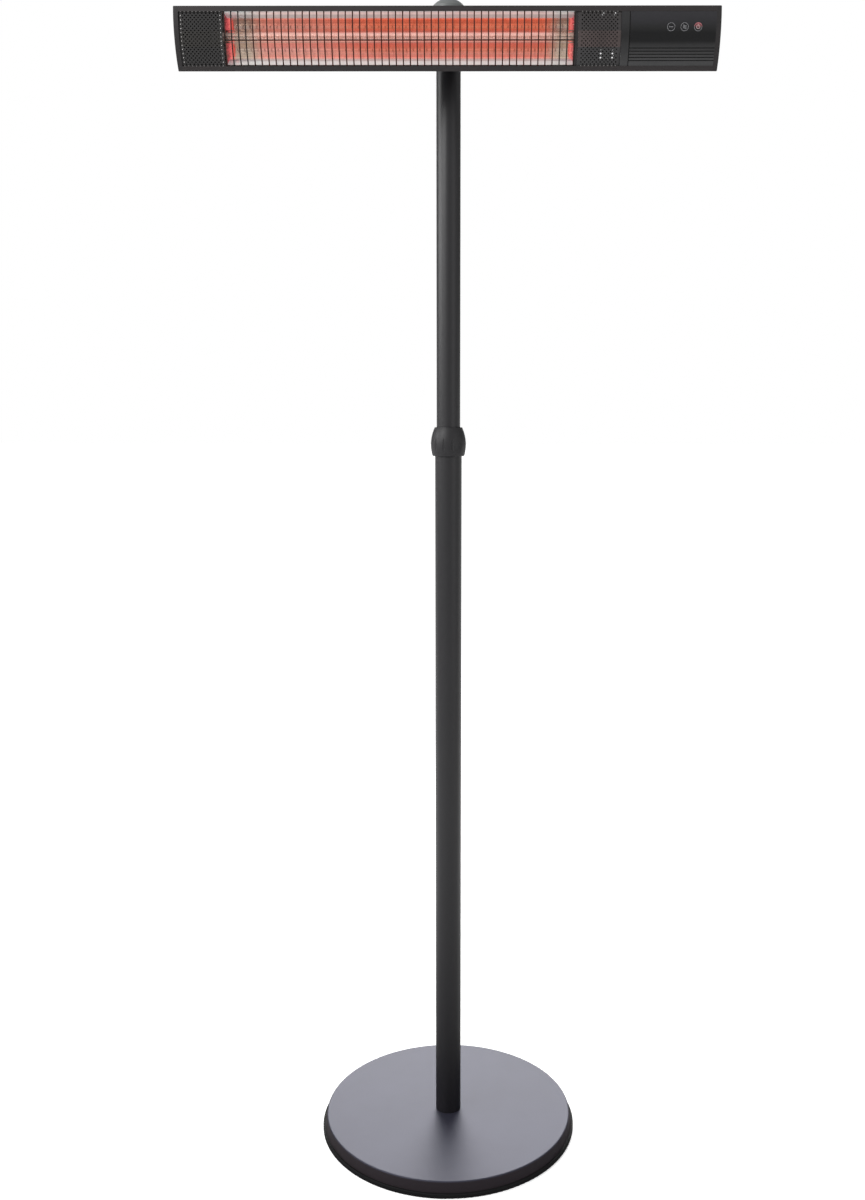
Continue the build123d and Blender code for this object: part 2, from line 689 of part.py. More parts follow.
def pivot_washer():
    ring = Circle(PIVOT_WASHER_R) - Circle(PIVOT_R)
    return across_x(ring, EAR_OUT, EAR_OUT + PIVOT_WASHER_T)


def tilt_knob():
    """Lobed hand knob that locks the tilt."""
    star = Circle(KNOB_R)
    for lobe in range(KNOB_LOBES):
        turn = Rot(0, 0, lobe * 360 / KNOB_LOBES)
        star -= turn * Pos(KNOB_R + KNOB_NOTCH_OUT, 0) * Circle(KNOB_NOTCH_R)
    hub_end = KNOB_X + KNOB_HUB_L
    knob = across_x(star, hub_end, hub_end + KNOB_L)
    knob = chamfer(knob.faces().sort_by(Axis.X)[-1].edges(), KNOB_CHAMFER)
    knob += drum(KNOB_HUB_R, KNOB_X, hub_end)
    return knob - drum(PIVOT_R + RUN, KNOB_X - 1, KNOB_X + KNOB_BORE_L)


# ------------------------------------------------------------------ casing
def head_outline():
    """(Y, Z) outline of the head: bowed face, leaning top and bottom, rounded back."""
    top_front, low_front = (CHORD_Y, HEAD_H / 2), (CHORD_Y, -HEAD_H / 2)
    top_back, low_back = (BACK_Y, BACK_H / 2), (BACK_Y, -BACK_H / 2)
    face = ThreePointArc(low_front, (FACE_Y, 0), top_front)
    sides = Polyline(top_front, top_back, low_back, low_front)
    outline = make_face(face.edges() + sides.edges())
    return fillet(outline.vertices().sort_by(Axis.X)[-2:], BACK_CORNER_R)


def port_places():
    """(Y, Z) centres of the four screw ports, against the casing's walls."""
    front_y = CHORD_Y + PORT_FRONT_Y
    front_z = wall_z(front_y) - PORT_R + PORT_BITE
    back_y = INNER_BACK_Y - PORT_BACK_Y
    back_z = wall_z(back_y) - PORT_R - PORT_BACK_DROP
    return [(y, side * z) for y, z in ((front_y, front_z), (back_y, back_z)) for side in (1, -1)]


def casing_section():
    """The extruded profile: a channel with two lips, back fins, a T-slot rail and ports."""
    outline = head_outline()
    inside = offset(outline, amount=-WALL, kind=Kind.INTERSECTION)
    mouth = Pos(CHORD_Y, 0) * Rectangle(HEAD_DEPTH, MOUTH_H)
    section = outline - inside - mouth
    for y, z in port_places():
        section += (Pos(y, z) * Circle(PORT_R)) & outline
    root = WALL / 2
    for side in (1, -1):
        for fin in range(FIN_COUNT):
            z = side * (RAIL_W / 2 + FIN_GAP + fin * FIN_PITCH)
            section += Pos(BACK_Y + (FIN_H - root) / 2, z) * Rectangle(FIN_H + root, FIN_T)
    section += Pos(BACK_Y + (RAIL_H - root) / 2, 0) * Rectangle(RAIL_H + root, RAIL_W)
    section -= Pos(BACK_Y + SLOT_D / 2, 0) * Rectangle(SLOT_D, SLOT_W)
    section -= Pos(RAIL_Y, 0) * Rectangle(2 * RAIL_H - 2, SLOT_MOUTH)
    for y, z in port_places():
        section -= Pos(y, z) * Circle(PORT_HOLE_R)
    return section


def head_casing():
    casing = across_x(casing_section(), -CASING_X, CASING_X)
    past_fins = BACK_Y + FIN_H + 1
    low = [up - BACK_H / 2 for up in VENT_LOW]
    high = [BACK_H / 2 - down for down in VENT_HIGH]
    for along in VENT_FROM_MESH:
        x = MESH_R_START + along
        span = (x - VENT_W / 2, x + VENT_W / 2)
        casing -= block(span, (INNER_BACK_Y - 1, past_fins), low)
        casing -= block(span, (BACK_Y - BACK_CORNER_R, past_fins), high)
    casing -= along_y(Circle(GLAND_R), GLAND_X, GLAND_Z, INNER_BACK_Y - 1, past_fins)
    spot = Circle(GLAND_AF / 2 + GLAND_SPOT)
    return casing - along_y(spot, GLAND_X, GLAND_Z, BACK_Y, RAIL_Y + 1)


def end_cap(side):
    """Moulded end cap with a spigot inside the casing and four countersunk screw holes."""
    outline = head_outline()
    start, end = side * CASING_X, side * HEAD_L / 2
    cap = across_x(outline, start, end)
    rim = cap.faces().sort_by(Axis.X)[-1 if side > 0 else 0].edges()
    cap = fillet(rim, END_CAP_ROUND)
    inner = offset(outline, amount=-WALL - SEAT, kind=Kind.INTERSECTION)
    spigot = inner - offset(inner, amount=-END_CAP_SPIGOT_WALL, kind=Kind.INTERSECTION)
    spigot -= Pos(CHORD_Y, 0) * Rectangle(HEAD_DEPTH, HEAD_H)
    for y, z in port_places():
        spigot -= Pos(y, z) * Circle(PORT_R + 2 * SEAT)
    cap += across_x(spigot, start - side * END_CAP_SPIGOT, start)
    for y, z in port_places():
        cap -= drum(SCREW_R, start - side, end + side, y, z)
        cap -= drum(SCREW_HEAD_R, end - side * SCREW_HEAD_H, end + side, y, z)
    return cap


def end_cap_screws(side):
    screws = []
    out = side * (HEAD_L / 2 - SCREW_SUNK)
    under = side * (HEAD_L / 2 - SCREW_HEAD_H)
    for y, z in port_places():
        screw = drum(SCREW_R, under - side * SCREW_L, under, y, z)
        screw += drum(SCREW_HEAD_R, under, out, y, z)
        slot = (out - side * SCREW_SLOT_D, out + side)
        half_w = SCREW_SLOT_W / 2
        screw -= block(slot, (y - SCREW_HEAD_R, y + SCREW_HEAD_R), (z - half_w, z + half_w))
        screws.append(screw)
    return screws


def casing_pieces():
    return {
        "head_casing": head_casing(),
        "end_cap_left": end_cap(-1),
        "end_cap_right": end_cap(1),
        "end_cap_screws": Compound(end_cap_screws(-1) + end_cap_screws(1)),
        "head_bracket": head_bracket(),
        "bracket_bolts": bracket_bolts(),
        "pivot_bolt": pivot_bolt(),
        "pivot_washer": pivot_washer(),
    }


# ------------------------------------------------------------------ guard and mesh panels
def wire_guard():
    """Upright bowed wires welded to three cross wires, behind the casing's lips."""
    cross = []
    for z in (-CROSS_EDGE, CROSS_MIDDLE, CROSS_EDGE):
        section = Pos(arc_y(CROSS_PATH_R, z), z) * RegularPolygon(WIRE_R, WIRE_SIDES)
        cross.append(across_x(section, WINDOW_L - WIRE_R, WINDOW_R + WIRE_R))
    tip = HEAD_H / 2
    low, high = (arc_y(WIRE_PATH_R, tip), -tip), (arc_y(WIRE_PATH_R, tip), tip)
    uprights = []
    for wire in range(WIRE_COUNT):
        x = WINDOW_L + wire * WIRE_PITCH
        path = Plane.YZ.offset(x) * ThreePointArc(low, (arc_y(WIRE_PATH_R, 0), 0), high)
        section = Plane(origin=path @ 0, z_dir=path % 0) * RegularPolygon(WIRE_R, WIRE_SIDES)
        uprights.append(sweep(section, path=path))
    guard = cross[0].fuse(*cross[1:], *uprights)
    return guard & across_x(between_walls(), WINDOW_L - WIRE_PITCH, WINDOW_R + WIRE_PITCH)


def mesh_panel(start, end):
    """Bowed tray of perforated sheet."""
    panel = across_x(front_tray(MESH_T), start, end)
    columns = int((end - start - 2 * MESH_MARGIN) / MESH_PITCH)
    rows = int((MOUTH_H - 2 * MESH_MARGIN) / MESH_PITCH)
    depth = (FACE_Y, TRAY_BACK_Y)
    half = MESH_HOLE / 2
    holes = []
    for column in range(columns):
        x = (start + end) / 2 + (column - (columns - 1) / 2) * MESH_PITCH
        for row in range(rows):
            z = (row - (rows - 1) / 2) * MESH_PITCH
            holes.append(block((x - half, x + half), depth, (z - half, z + half)))
    return panel.cut(*holes)


def front_pieces():
    return {
        "wire_guard": wire_guard(),
        "mesh_panel_left": mesh_panel(-CASING_X, MESH_L_END),
        "mesh_panel_right": mesh_panel(MESH_R_START, MESH_R_END),
    }


# ------------------------------------------------------------------ reflector and lamp
def reflector_cavity():
    """(Y, Z) area in front of the reflector: two troughs with a ridge behind the lamp."""
    deep_y = INNER_BACK_Y - TROUGH_CLEAR
    round_y = deep_y - TROUGH_R
    middle_z = REFLECTOR_EDGE - TROUGH_IN
    ridge = (LAMP_Y + LAMP_R + RIDGE_GAP, LAMP_Z)
    cavity = None
    for side in (1, -1):
        shoulder = (REFLECTOR_Y + SHOULDER_DEPTH, side * (REFLECTOR_EDGE - SHOULDER_IN))
        outer, inner = side * (middle_z + TROUGH_R), side * (middle_z - TROUGH_R)
        bottom = ThreePointArc((round_y, outer), (deep_y, side * middle_z), (round_y, inner))
        rest = Polyline(
            (round_y, inner),
            ridge,
            (REFLECTOR_Y, LAMP_Z),
            (REFLECTOR_Y, side * REFLECTOR_EDGE),
            shoulder,
            (round_y, outer),
        )
        half = make_face(bottom.edges() + rest.edges())
        cavity = half if cavity is None else cavity + half
    return cavity


def reflector():
    """Folded bright sheet with two troughs; its front edges turn out to the casing's walls."""
    cavity = reflector_cavity()
    sheet = offset(cavity, amount=SHEET, kind=Kind.INTERSECTION) - cavity
    sheet -= Pos(REFLECTOR_Y - HEAD_DEPTH / 2, 0) * Rectangle(HEAD_DEPTH, 2 * HEAD_H)
    back = REFLECTOR_Y + SHEET
    sheet += upper_and_lower(
        [
            (REFLECTOR_Y, wall_z(REFLECTOR_Y)),
            (back, wall_z(back)),
            (back, REFLECTOR_EDGE),
            (REFLECTOR_Y, REFLECTOR_EDGE),
        ]
    )
    return across_x(sheet, PLATE_L, PLATE_R)


def bulkhead(front_y):
    """(Y, Z) outline of a plate across the casing, cut back at the rounded corners."""
    corner_y, corner_z = BACK_Y - BACK_CORNER_R, BACK_H / 2 - BACK_CORNER_R
    outline = upper_and_lower(
        [
            (front_y, 0),
            (front_y, wall_z(front_y)),
            (corner_y, wall_z(corner_y)),
            (INNER_BACK_Y, corner_z),
            (INNER_BACK_Y, 0),
        ]
    )
    for y, z in port_places():
        outline -= Pos(y, z) * Circle(PORT_R + SEAT)
    return outline


def lamp_end(side):
    """End plate, ceramic and holder of one end of the lamp; side is -1 for the left."""
    inner = PLATE_L if side < 0 else PLATE_R
    outer = inner + side * END_PLATE_T
    plate = across_x(bulkhead(CHORD_Y + END_PLATE_FRONT), inner, outer)
    plate -= drum(LAMP_R + LAMP_HOLE_GAP, inner - side, outer + side, LAMP_Y, LAMP_Z)
    near = outer + side * CERAMIC_START
    far = near + side * CERAMIC_L
    ceramic = drum(CERAMIC_R, near, far, LAMP_Y, LAMP_Z)
    shoulder = far - side * CERAMIC_SHOULDER_L
    ceramic += drum(CERAMIC_SHOULDER_R, shoulder, far, LAMP_Y, LAMP_Z)
    ceramic -= drum(LAMP_R, near, outer + side * LAMP_END_RUN, LAMP_Y, LAMP_Z)
    reach = CERAMIC_SHOULDER_R + HOLDER_T
    upright = (shoulder - side * HOLDER_T, shoulder)
    width = (LAMP_Y - HOLDER_W / 2, LAMP_Y + HOLDER_W / 2)
    holder = block(upright, width, (LAMP_Z - reach, LAMP_Z + reach))
    for sign in (1, -1):
        arm_z = LAMP_Z + sign * (reach - HOLDER_T / 2)
        half_t = HOLDER_T / 2
        holder += block((outer, shoulder), width, (arm_z - half_t, arm_z + half_t))
        foot = (arm_z, arm_z + sign * HOLDER_FOOT)
        holder += block((outer, outer + side * HOLDER_T), width, foot)
    holder -= drum(CERAMIC_R, outer, shoulder + side, LAMP_Y, LAMP_Z)
    return plate, ceramic, holder


def lamp_tube():
    """Closed quartz tube."""
    quartz = drum(LAMP_R, LAMP_L, LAMP_END, LAMP_Y, LAMP_Z)
    hollow = (LAMP_L + LAMP_SEAL, LAMP_END - LAMP_SEAL)
    return quartz - drum(LAMP_R - LAMP_WALL, *hollow, LAMP_Y, LAMP_Z)


def lamp_core():
    """Heating element on the tube's axis, with a thin lead to each end."""
    core = drum(CORE_R, WINDOW_L + CORE_FROM_LEFT, WINDOW_R - CORE_FROM_RIGHT, LAMP_Y, LAMP_Z)
    leads = (LAMP_L + LAMP_SEAL, LAMP_END - LAMP_SEAL)
    return core + drum(CORE_LEAD_R, *leads, LAMP_Y, LAMP_Z)


def lamp_pieces():
    plate_l, ceramic_l, holder_l = lamp_end(-1)
    plate_r, ceramic_r, holder_r = lamp_end(1)
    return {
        "reflector": reflector(),
        "reflector_end_left": plate_l,
        "reflector_end_right": plate_r,
        "lamp_tube": lamp_tube(),
        "lamp_core": lamp_core(),
        "lamp_ceramics": Compound([ceramic_l, ceramic_r]),
        "lamp_holder_left": holder_l,
        "lamp_holder_right": holder_r,
    }


# ------------------------------------------------------------------ control end
def board_pillars():
    """(X, Z) places of the pillars that carry the board."""
    ends = (BOARD_START + BOARD_PILLAR_INSET, BOARD_END - BOARD_PILLAR_INSET)
    height = BOARD_HALF_H - BOARD_PILLAR_INSET
    return [(x, z) for x in ends for z in (-height, height)]


def groove_cut(low, high):
    """(Y, Z) section of a groove in the panel's face, between two heights."""
    return bowed_band(FACE_R + 1, GROOVE_D + 1, low, high)


def control_panel():
    """Bowed moulding, flush in the casing's mouth, with grooves below and key holes above."""
    skin = bowed_band(FACE_R, PANEL_T, -PANEL_H / 2, PANEL_H / 2)
    panel = across_x(skin + front_tray(PANEL_T), PANEL_START, CASING_X)
    left = PANEL_START + PANEL_BORDER
    for groove in range(GROOVE_COUNT):
        low = GROOVE_LOWEST - PANEL_H / 2 + groove * GROOVE_PITCH
        panel -= across_x(groove_cut(low - GROOVE_W / 2, low + GROOVE_W / 2), left, CASING_X + 1)
    panel -= across_x(groove_cut(-HEAD_H / 2, HEAD_H / 2), left - GROOVE_W, left)
    for x in KEY_XS:
        panel -= along_y(Circle(KEY_R), x, KEY_Z, FACE_Y - 1, BOARD_Y)
    for x, z in board_pillars():
        panel += along_y(Circle(BOARD_PILLAR_R), x, z, arc_y(FACE_R - PANEL_T, z), BOARD_Y)
    return panel


def touch_key(x):
    """Round window, flush with the panel, on a stem that stands on the board."""
    window = along_y(Circle(KEY_R), x, KEY_Z, FACE_Y - 1, CHORD_Y)
    window &= across_x(bowed_band(FACE_R, KEY_T, -HEAD_H, HEAD_H), x - 2 * KEY_R, x + 2 * KEY_R)
    stem = along_y(Circle(KEY_STEM_R), x, KEY_Z, arc_y(FACE_R - KEY_T / 2, KEY_Z), BOARD_Y)
    return window + stem


def control_board():
    height = (-BOARD_HALF_H, BOARD_HALF_H)
    return block((BOARD_START, BOARD_END), (BOARD_Y, BOARD_BACK), height)


def relay():
    x, z = BOARD_X + RELAY_FROM[0], RELAY_FROM[1]
    half_x, half_z = RELAY[0] / 2, RELAY[2] / 2
    depth = (BOARD_BACK, BOARD_BACK + RELAY[1])
    return block((x - half_x, x + half_x), depth, (z - half_z, z + half_z))


def heat_sink():
    """Finned block on the board's back."""
    x, z = BOARD_X + SINK_FROM[0], SINK_FROM[1]
    height = (z - SINK[2] / 2, z + SINK[2] / 2)
    root = BOARD_BACK + SINK_ROOT
    sink = block((x - SINK[0] / 2, x + SINK[0] / 2), (BOARD_BACK, root), height)
    pitch = (SINK[0] - SINK_FIN_T) / (SINK_FINS - 1)
    for fin in range(SINK_FINS):
        left = x - SINK[0] / 2 + fin * pitch
        sink += block((left, left + SINK_FIN_T), (root, BOARD_BACK + SINK[1]), height)
    return sink


def terminal_block():
    """Screw terminals on the casing's back wall."""
    x, z = BOARD_X + TERMINALS_FROM[0], TERMINALS_FROM[1]
    block_y = (INNER_BACK_Y - TERMINALS[1], INNER_BACK_Y)
    terminals = block(
        (x - TERMINALS[0] / 2, x + TERMINALS[0] / 2),
        block_y,
        (z - TERMINALS[2] / 2, z + TERMINALS[2] / 2),
    )
    pitch = TERMINALS[0] / TERMINAL_WAYS
    for way in range(TERMINAL_WAYS):
        screw_x = x + (way - (TERMINAL_WAYS - 1) / 2) * pitch
        hole = Circle(TERMINAL_SCREW_R)
        terminals -= along_y(hole, screw_x, z, block_y[0] - 1, block_y[0] + TERMINALS[1] / 3)
    return terminals


def cable_gland():
    """Gland body through the back wall, with its clamping nut outside."""
    body = along_y(Circle(GLAND_R), GLAND_X, GLAND_Z, INNER_BACK_Y - GLAND_INSIDE, BACK_Y)
    flange_end = BACK_Y + GLAND_FLANGE
    body += along_y(hexagon(GLAND_AF), GLAND_X, GLAND_Z, BACK_Y, flange_end)
    nut = along_y(Circle(GLAND_AF / 2), GLAND_X, GLAND_Z, flange_end, flange_end + GLAND_NUT_H)
    nut = fillet(nut.faces().sort_by(Axis.Y)[-1].edges(), GLAND_NUT_ROUND)
    body += nut
    bore = Circle(GLAND_BORE_R)
    return body - along_y(bore, GLAND_X, GLAND_Z, BACK_Y - HEAD_DEPTH, flange_end + GLAND_NUT_H + 1)


def gland_locknut():
    start = INNER_BACK_Y - LOCKNUT_H
    return along_y(hexagon(GLAND_AF) - Circle(GLAND_R), GLAND_X, GLAND_Z, start, INNER_BACK_Y)


def control_pieces():
    partition = across_x(bulkhead(BOARD_Y), PARTITION_X, PARTITION_X + PARTITION_T)
    pieces = {
        "control_panel": control_panel(),
        "partition": partition,
        "control_board": control_board(),
        "relay": relay(),
        "heat_sink": heat_sink(),
        "terminal_block": terminal_block(),
        "cable_gland": cable_gland(),
        "gland_locknut": gland_locknut(),
    }
    for name, x in zip(KEY_NAMES, KEY_XS):
        pieces[name] = touch_key(x)
    return pieces


# ------------------------------------------------------------------ whole heater
def all_pieces():
    pieces = {}
    for group in (base_pieces(), mast_pieces(), collar_pieces(), socket_pieces()):
        pieces.update(group)
    head = {"tilt_knob": tilt_knob()}
    for group in (casing_pieces(), front_pieces(), lamp_pieces(), control_pieces()):
        head.update(group)
    for name, shape in head.items():
        pieces[name] = in_head(shape)
    return pieces


os.makedirs("parts", exist_ok=True)
for name, shape in all_pieces().items():
    export_step(shape, f"parts/{name}.step")
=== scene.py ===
import math

import bmesh
import bpy
from mathutils import Matrix, Vector


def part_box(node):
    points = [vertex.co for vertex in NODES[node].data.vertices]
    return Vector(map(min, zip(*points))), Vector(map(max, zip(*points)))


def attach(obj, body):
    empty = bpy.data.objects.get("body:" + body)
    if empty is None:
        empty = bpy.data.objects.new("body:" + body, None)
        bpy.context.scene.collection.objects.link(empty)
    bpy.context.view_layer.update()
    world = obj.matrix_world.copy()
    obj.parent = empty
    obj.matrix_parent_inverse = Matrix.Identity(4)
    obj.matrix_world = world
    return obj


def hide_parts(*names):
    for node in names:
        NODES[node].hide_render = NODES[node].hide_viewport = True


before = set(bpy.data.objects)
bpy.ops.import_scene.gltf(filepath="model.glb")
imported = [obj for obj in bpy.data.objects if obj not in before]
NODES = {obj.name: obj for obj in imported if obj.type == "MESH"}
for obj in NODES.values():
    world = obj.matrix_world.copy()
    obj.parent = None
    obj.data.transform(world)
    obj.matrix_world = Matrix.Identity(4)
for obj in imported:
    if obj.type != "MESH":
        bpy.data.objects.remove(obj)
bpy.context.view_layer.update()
MM = 0.001

# ---- the level head's frame: origin on the tilt axis, X along the head, -Y out of its face ----
HEAD_AT = Vector((0.0, -0.046, 1.994))
HEAD_TILT = math.radians(15.0)
HEAD = Matrix.Translation(HEAD_AT) @ Matrix.Rotation(HEAD_TILT, 4, "X")

# Sizes of the head that the added pieces follow, in millimetres in that frame.
HALF_H = 48.0                       # half the chord of the bowed face
CHORD_Y = -92.0                     # that chord
FACE_R = 120.0
ARC_Y = CHORD_Y + math.sqrt(FACE_R**2 - HALF_H**2)      # centre of the face's arc
WALL = 2.0                          # the casing's thickness
WALL_SLOPE = 6.0 / 62.0             # how the casing's top and bottom lean in towards its back
TRAY_R = 117.8                      # front of the mesh panels, behind the lips
TRAY_BACK_Y = -83.0                 # back edges of their flanges
MOUTH_TOP = 40.0                    # lips' edges above and below the middle
FLAT_EDGE = 12.0                    # edges of a mesh panel's middle flat
LAMP_Y, LAMP_Z = -70.0, 3.0         # the lamp's axis
COLD_LEFT, COLD_RIGHT = 44.1, 35.1  # unheated ends of the lamp, from the guard's ends
KEY_Z = 17.2                        # middle of the keys
PANEL_BORDER = 12.5                 # plain strip at the control panel's left
REFLECTOR_Y, REFLECTOR_EDGE = -86.0, 39.0               # the reflector's front edge
SHOULDER_Y, SHOULDER_Z = -72.0, 30.5                    # where its flare ends
TROUGH_DEEP, TROUGH_Z, TROUGH_R = -40.0, 17.5, 11.0     # a trough's deepest line, and radius
TROUGH_FRONT, TROUGH_OUT = TROUGH_DEEP - TROUGH_R, TROUGH_Z + TROUGH_R  # and its outer edge
SHADE_Z = 45.0                      # tones across the head's height run from -SHADE_Z to SHADE_Z


def along(node):
    """Ends of a CAD node along X, in millimetres."""
    low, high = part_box(node)
    return low.x / MM, high.x / MM


MESH_L = along("mesh_panel_left")
MESH_R = along("mesh_panel_right")
GUARD = along("wire_guard")
LEAD = along("lamp_core")
CORE = (GUARD[0] + COLD_LEFT, GUARD[1] - COLD_RIGHT)
PLATES = along("reflector")
PANEL_FACE = along("control_panel")[0] + PANEL_BORDER
KEY_XS = [sum(along(key)) / 2 for key in ("key_low", "key_high", "key_power")]


def arc_y(radius, z):
    """Y of a bow of that radius round the face's centre, at a height."""
    return ARC_Y - math.sqrt(radius**2 - z**2)


def wall_z(y):
    """Height of the inner face of the casing's top at a depth."""
    return HALF_H - WALL_SLOPE * (y - CHORD_Y) - WALL * math.hypot(1, WALL_SLOPE)


# ------------------------------------------------------------------ node graphs
class Graph:
    """A material with a Principled shader, and short calls for its nodes."""

    def __init__(self, name, **values):
        self.mat = bpy.data.materials.new(name)
        self.mat.use_nodes = True
        self.tree = self.mat.node_tree
        self.tree.nodes.clear()
        self.out = self.node("ShaderNodeOutputMaterial")
        self.bsdf = self.node("ShaderNodeBsdfPrincipled")
        self.link(self.bsdf.outputs[0], self.out.inputs[0])
        for key, value in values.items():
            self.bsdf.inputs[key.replace("_", " ")].default_value = value

    def node(self, kind, **props):
        made = self.tree.nodes.new(kind)
        for key, value in props.items():
            setattr(made, key, value)
        return made

    def link(self, start, end):
        self.tree.links.new(start, end)

    def put(self, value, socket):
        """Links a socket, or sets a number, on an input."""
        if isinstance(value, bpy.types.NodeSocket):
            self.link(value, socket)
        else:
            socket.default_value = value

    def coords(self, head=False):
        """Rest coordinates in metres: the row's frame, or the level head's for a CAD node of it."""
        at = self.node("ShaderNodeTexCoord").outputs["Object"]
        if not head:
            return at
        turn = self.node("ShaderNodeMapping", vector_type="TEXTURE")
        turn.inputs["Location"].default_value = HEAD_AT
        turn.inputs["Rotation"].default_value = (HEAD_TILT, 0, 0)
        self.link(at, turn.inputs["Vector"])
        return turn.outputs[0]

    def scaled(self, vector, x, y, z):
        """Coordinates times a factor along each axis, so that a noise is longer along some."""
        stretch = self.node("ShaderNodeMapping", vector_type="POINT")
        stretch.inputs["Scale"].default_value = (x, y, z)
        self.link(vector, stretch.inputs["Vector"])
        return stretch.outputs[0]

    def axes(self, vector):
        """The vector's three parts."""
        split = self.node("ShaderNodeSeparateXYZ")
        self.link(vector, split.inputs[0])
        return split.outputs

    def noise(self, vector, scale, detail=2.0, rough=0.5):
        noise = self.node("ShaderNodeTexNoise")
        self.link(vector, noise.inputs["Vector"])
        noise.inputs["Scale"].default_value = scale
        noise.inputs["Detail"].default_value = detail
        noise.inputs["Roughness"].default_value = rough
        return noise.outputs["Fac"]

    def cells(self, vector, scale):
        cells = self.node("ShaderNodeTexVoronoi")
        self.link(vector, cells.inputs["Vector"])
        cells.inputs["Scale"].default_value = scale
        return cells.outputs["Distance"]

    def math(self, operation, a, b=0.0):
        made = self.node("ShaderNodeMath", operation=operation)
        self.put(a, made.inputs[0])
        self.put(b, made.inputs[1])
        return made.outputs[0]

    def distance(self, a, b):
        """Length of the flat vector (a, b)."""
        squares = self.math("ADD", self.math("MULTIPLY", a, a), self.math("MULTIPLY", b, b))
        return self.math("SQRT", squares)

    def span(self, value, low, high, start=0.0, end=1.0, smooth=False):
        """start below low, end above high, and between them in between."""
        made = self.node("ShaderNodeMapRange")
        made.interpolation_type = "SMOOTHSTEP" if smooth else "LINEAR"
        for index, number in enumerate((value, low, high, start, end)):
            self.put(number, made.inputs[index])
        return made.outputs[0]

    def vary(self, noise, start=0.0, end=1.0):
        """A noise, which keeps mostly between 0.3 and 0.7, spread from start to end."""
        return self.span(noise, 0.3, 0.7, start, end)

    def mix(self, factor, a, b):
        """Colour a where the factor is 0, and b where it is 1."""
        made = self.node("ShaderNodeMix", data_type="RGBA")
        self.put(factor, made.inputs["Factor"])
        for value, socket in ((a, made.inputs[6]), (b, made.inputs[7])):
            self.put(value if isinstance(value, bpy.types.NodeSocket) else (*value, 1.0), socket)
        return made.outputs[2]

    def ramp(self, factor, stops):
        """Colours along a factor, from (place, colour) stops."""
        made = self.node("ShaderNodeValToRGB")
        steps = made.color_ramp.elements
        while len(steps) < len(stops):
            steps.new(0.5)
        for step, (at, color) in zip(steps, stops):
            step.position = at
            step.color = (*color, 1.0)
        self.put(factor, made.inputs[0])
        return made.outputs[0]

    def bump(self, height, distance, strength):
        """Surface normals from a height of that many metres."""
        made = self.node("ShaderNodeBump")
        made.inputs["Distance"].default_value = distance
        made.inputs["Strength"].default_value = strength
        self.link(height, made.inputs["Height"])
        return made.outputs[0]

    def set(self, **sockets):
        """Links or sets inputs of the Principled shader."""
        for key, value in sockets.items():
            self.put(value, self.bsdf.inputs[key.replace("_", " ")])
        return self


def shade(color, factor):
    """A colour made lighter or darker."""
    return tuple(min(1.0, part * factor) for part in color)


# ------------------------------------------------------------------ finishes
def powder_coat(name, color, rough, grain=1.0, peel=0.00003, gloss=0.3):
    """Baked powder paint: a fine orange peel, faint cloudiness and a few lighter specks."""
    g = Graph(name, Specular_IOR_Level=gloss)
    at = g.coords()
    cloud = g.noise(at, 9.0, 3.0)
    peel_height = g.noise(at, 900.0 * grain, 2.0, 0.6)
    speck = g.span(g.noise(at, 2600.0 * grain, 1.0), 0.64, 0.74)
    tone = g.mix(g.vary(cloud), shade(color, 0.88), shade(color, 1.12))
    g.set(
        Base_Color=g.mix(g.math("MULTIPLY", speck, 0.35), tone, shade(color, 2.4)),
        Roughness=g.vary(peel_height, rough - 0.05, rough + 0.06),
        Normal=g.bump(peel_height, peel, 0.6),
    )
    return g.mat


def base_coat():
    """Satin paint of the base: bluish grey on top; the skirt is duller and painted nearly black, a
    painted shade on its sideways faces.
    """
    skirt_top, flat_top = 0.0262, 0.0285
    g = Graph("base_coat", Specular_IOR_Level=0.45, Specular_Tint=(0.80, 0.80, 1.0, 1.0))
    at = g.coords()
    z = g.axes(at)[2]
    top = g.span(z, skirt_top, flat_top, smooth=True)
    cloud = g.noise(at, 7.0, 4.0, 0.55)
    grain = g.noise(at, 1000.0, 2.0, 0.6)
    paint = g.mix(g.vary(cloud), (0.015, 0.015, 0.024), (0.022, 0.022, 0.034))
    g.set(
        # painted shade: the skirt below the top is painted nearly black
        Base_Color=g.mix(top, (0.009, 0.0045, 0.0035), paint),
        Roughness=g.math("ADD", g.span(top, 0.0, 1.0, 0.62, 0.50),
                         g.vary(grain, -0.03, 0.04)),
        Normal=g.bump(grain, 0.00002, 0.5),
    )
    return g.mat


def moulded(name, color, rough, grain=1.0, depth=0.00002, head=False, gloss=0.3):
    """Moulded plastic with a spark-eroded texture and faint flow marks."""
    g = Graph(name, Specular_IOR_Level=gloss)
    at = g.coords(head)
    grit = g.noise(at, 1900.0 * grain, 3.0, 0.65)
    flow = g.noise(g.scaled(at, 14.0, 40.0, 40.0), 1.0, 2.0)
    g.set(
        Base_Color=g.mix(g.span(flow, 0.25, 0.75), shade(color, 0.9), shade(color, 1.1)),
        Roughness=g.vary(grit, rough - 0.07, rough + 0.07),
        Normal=g.bump(grit, depth, 0.7),
    )
    return g.mat


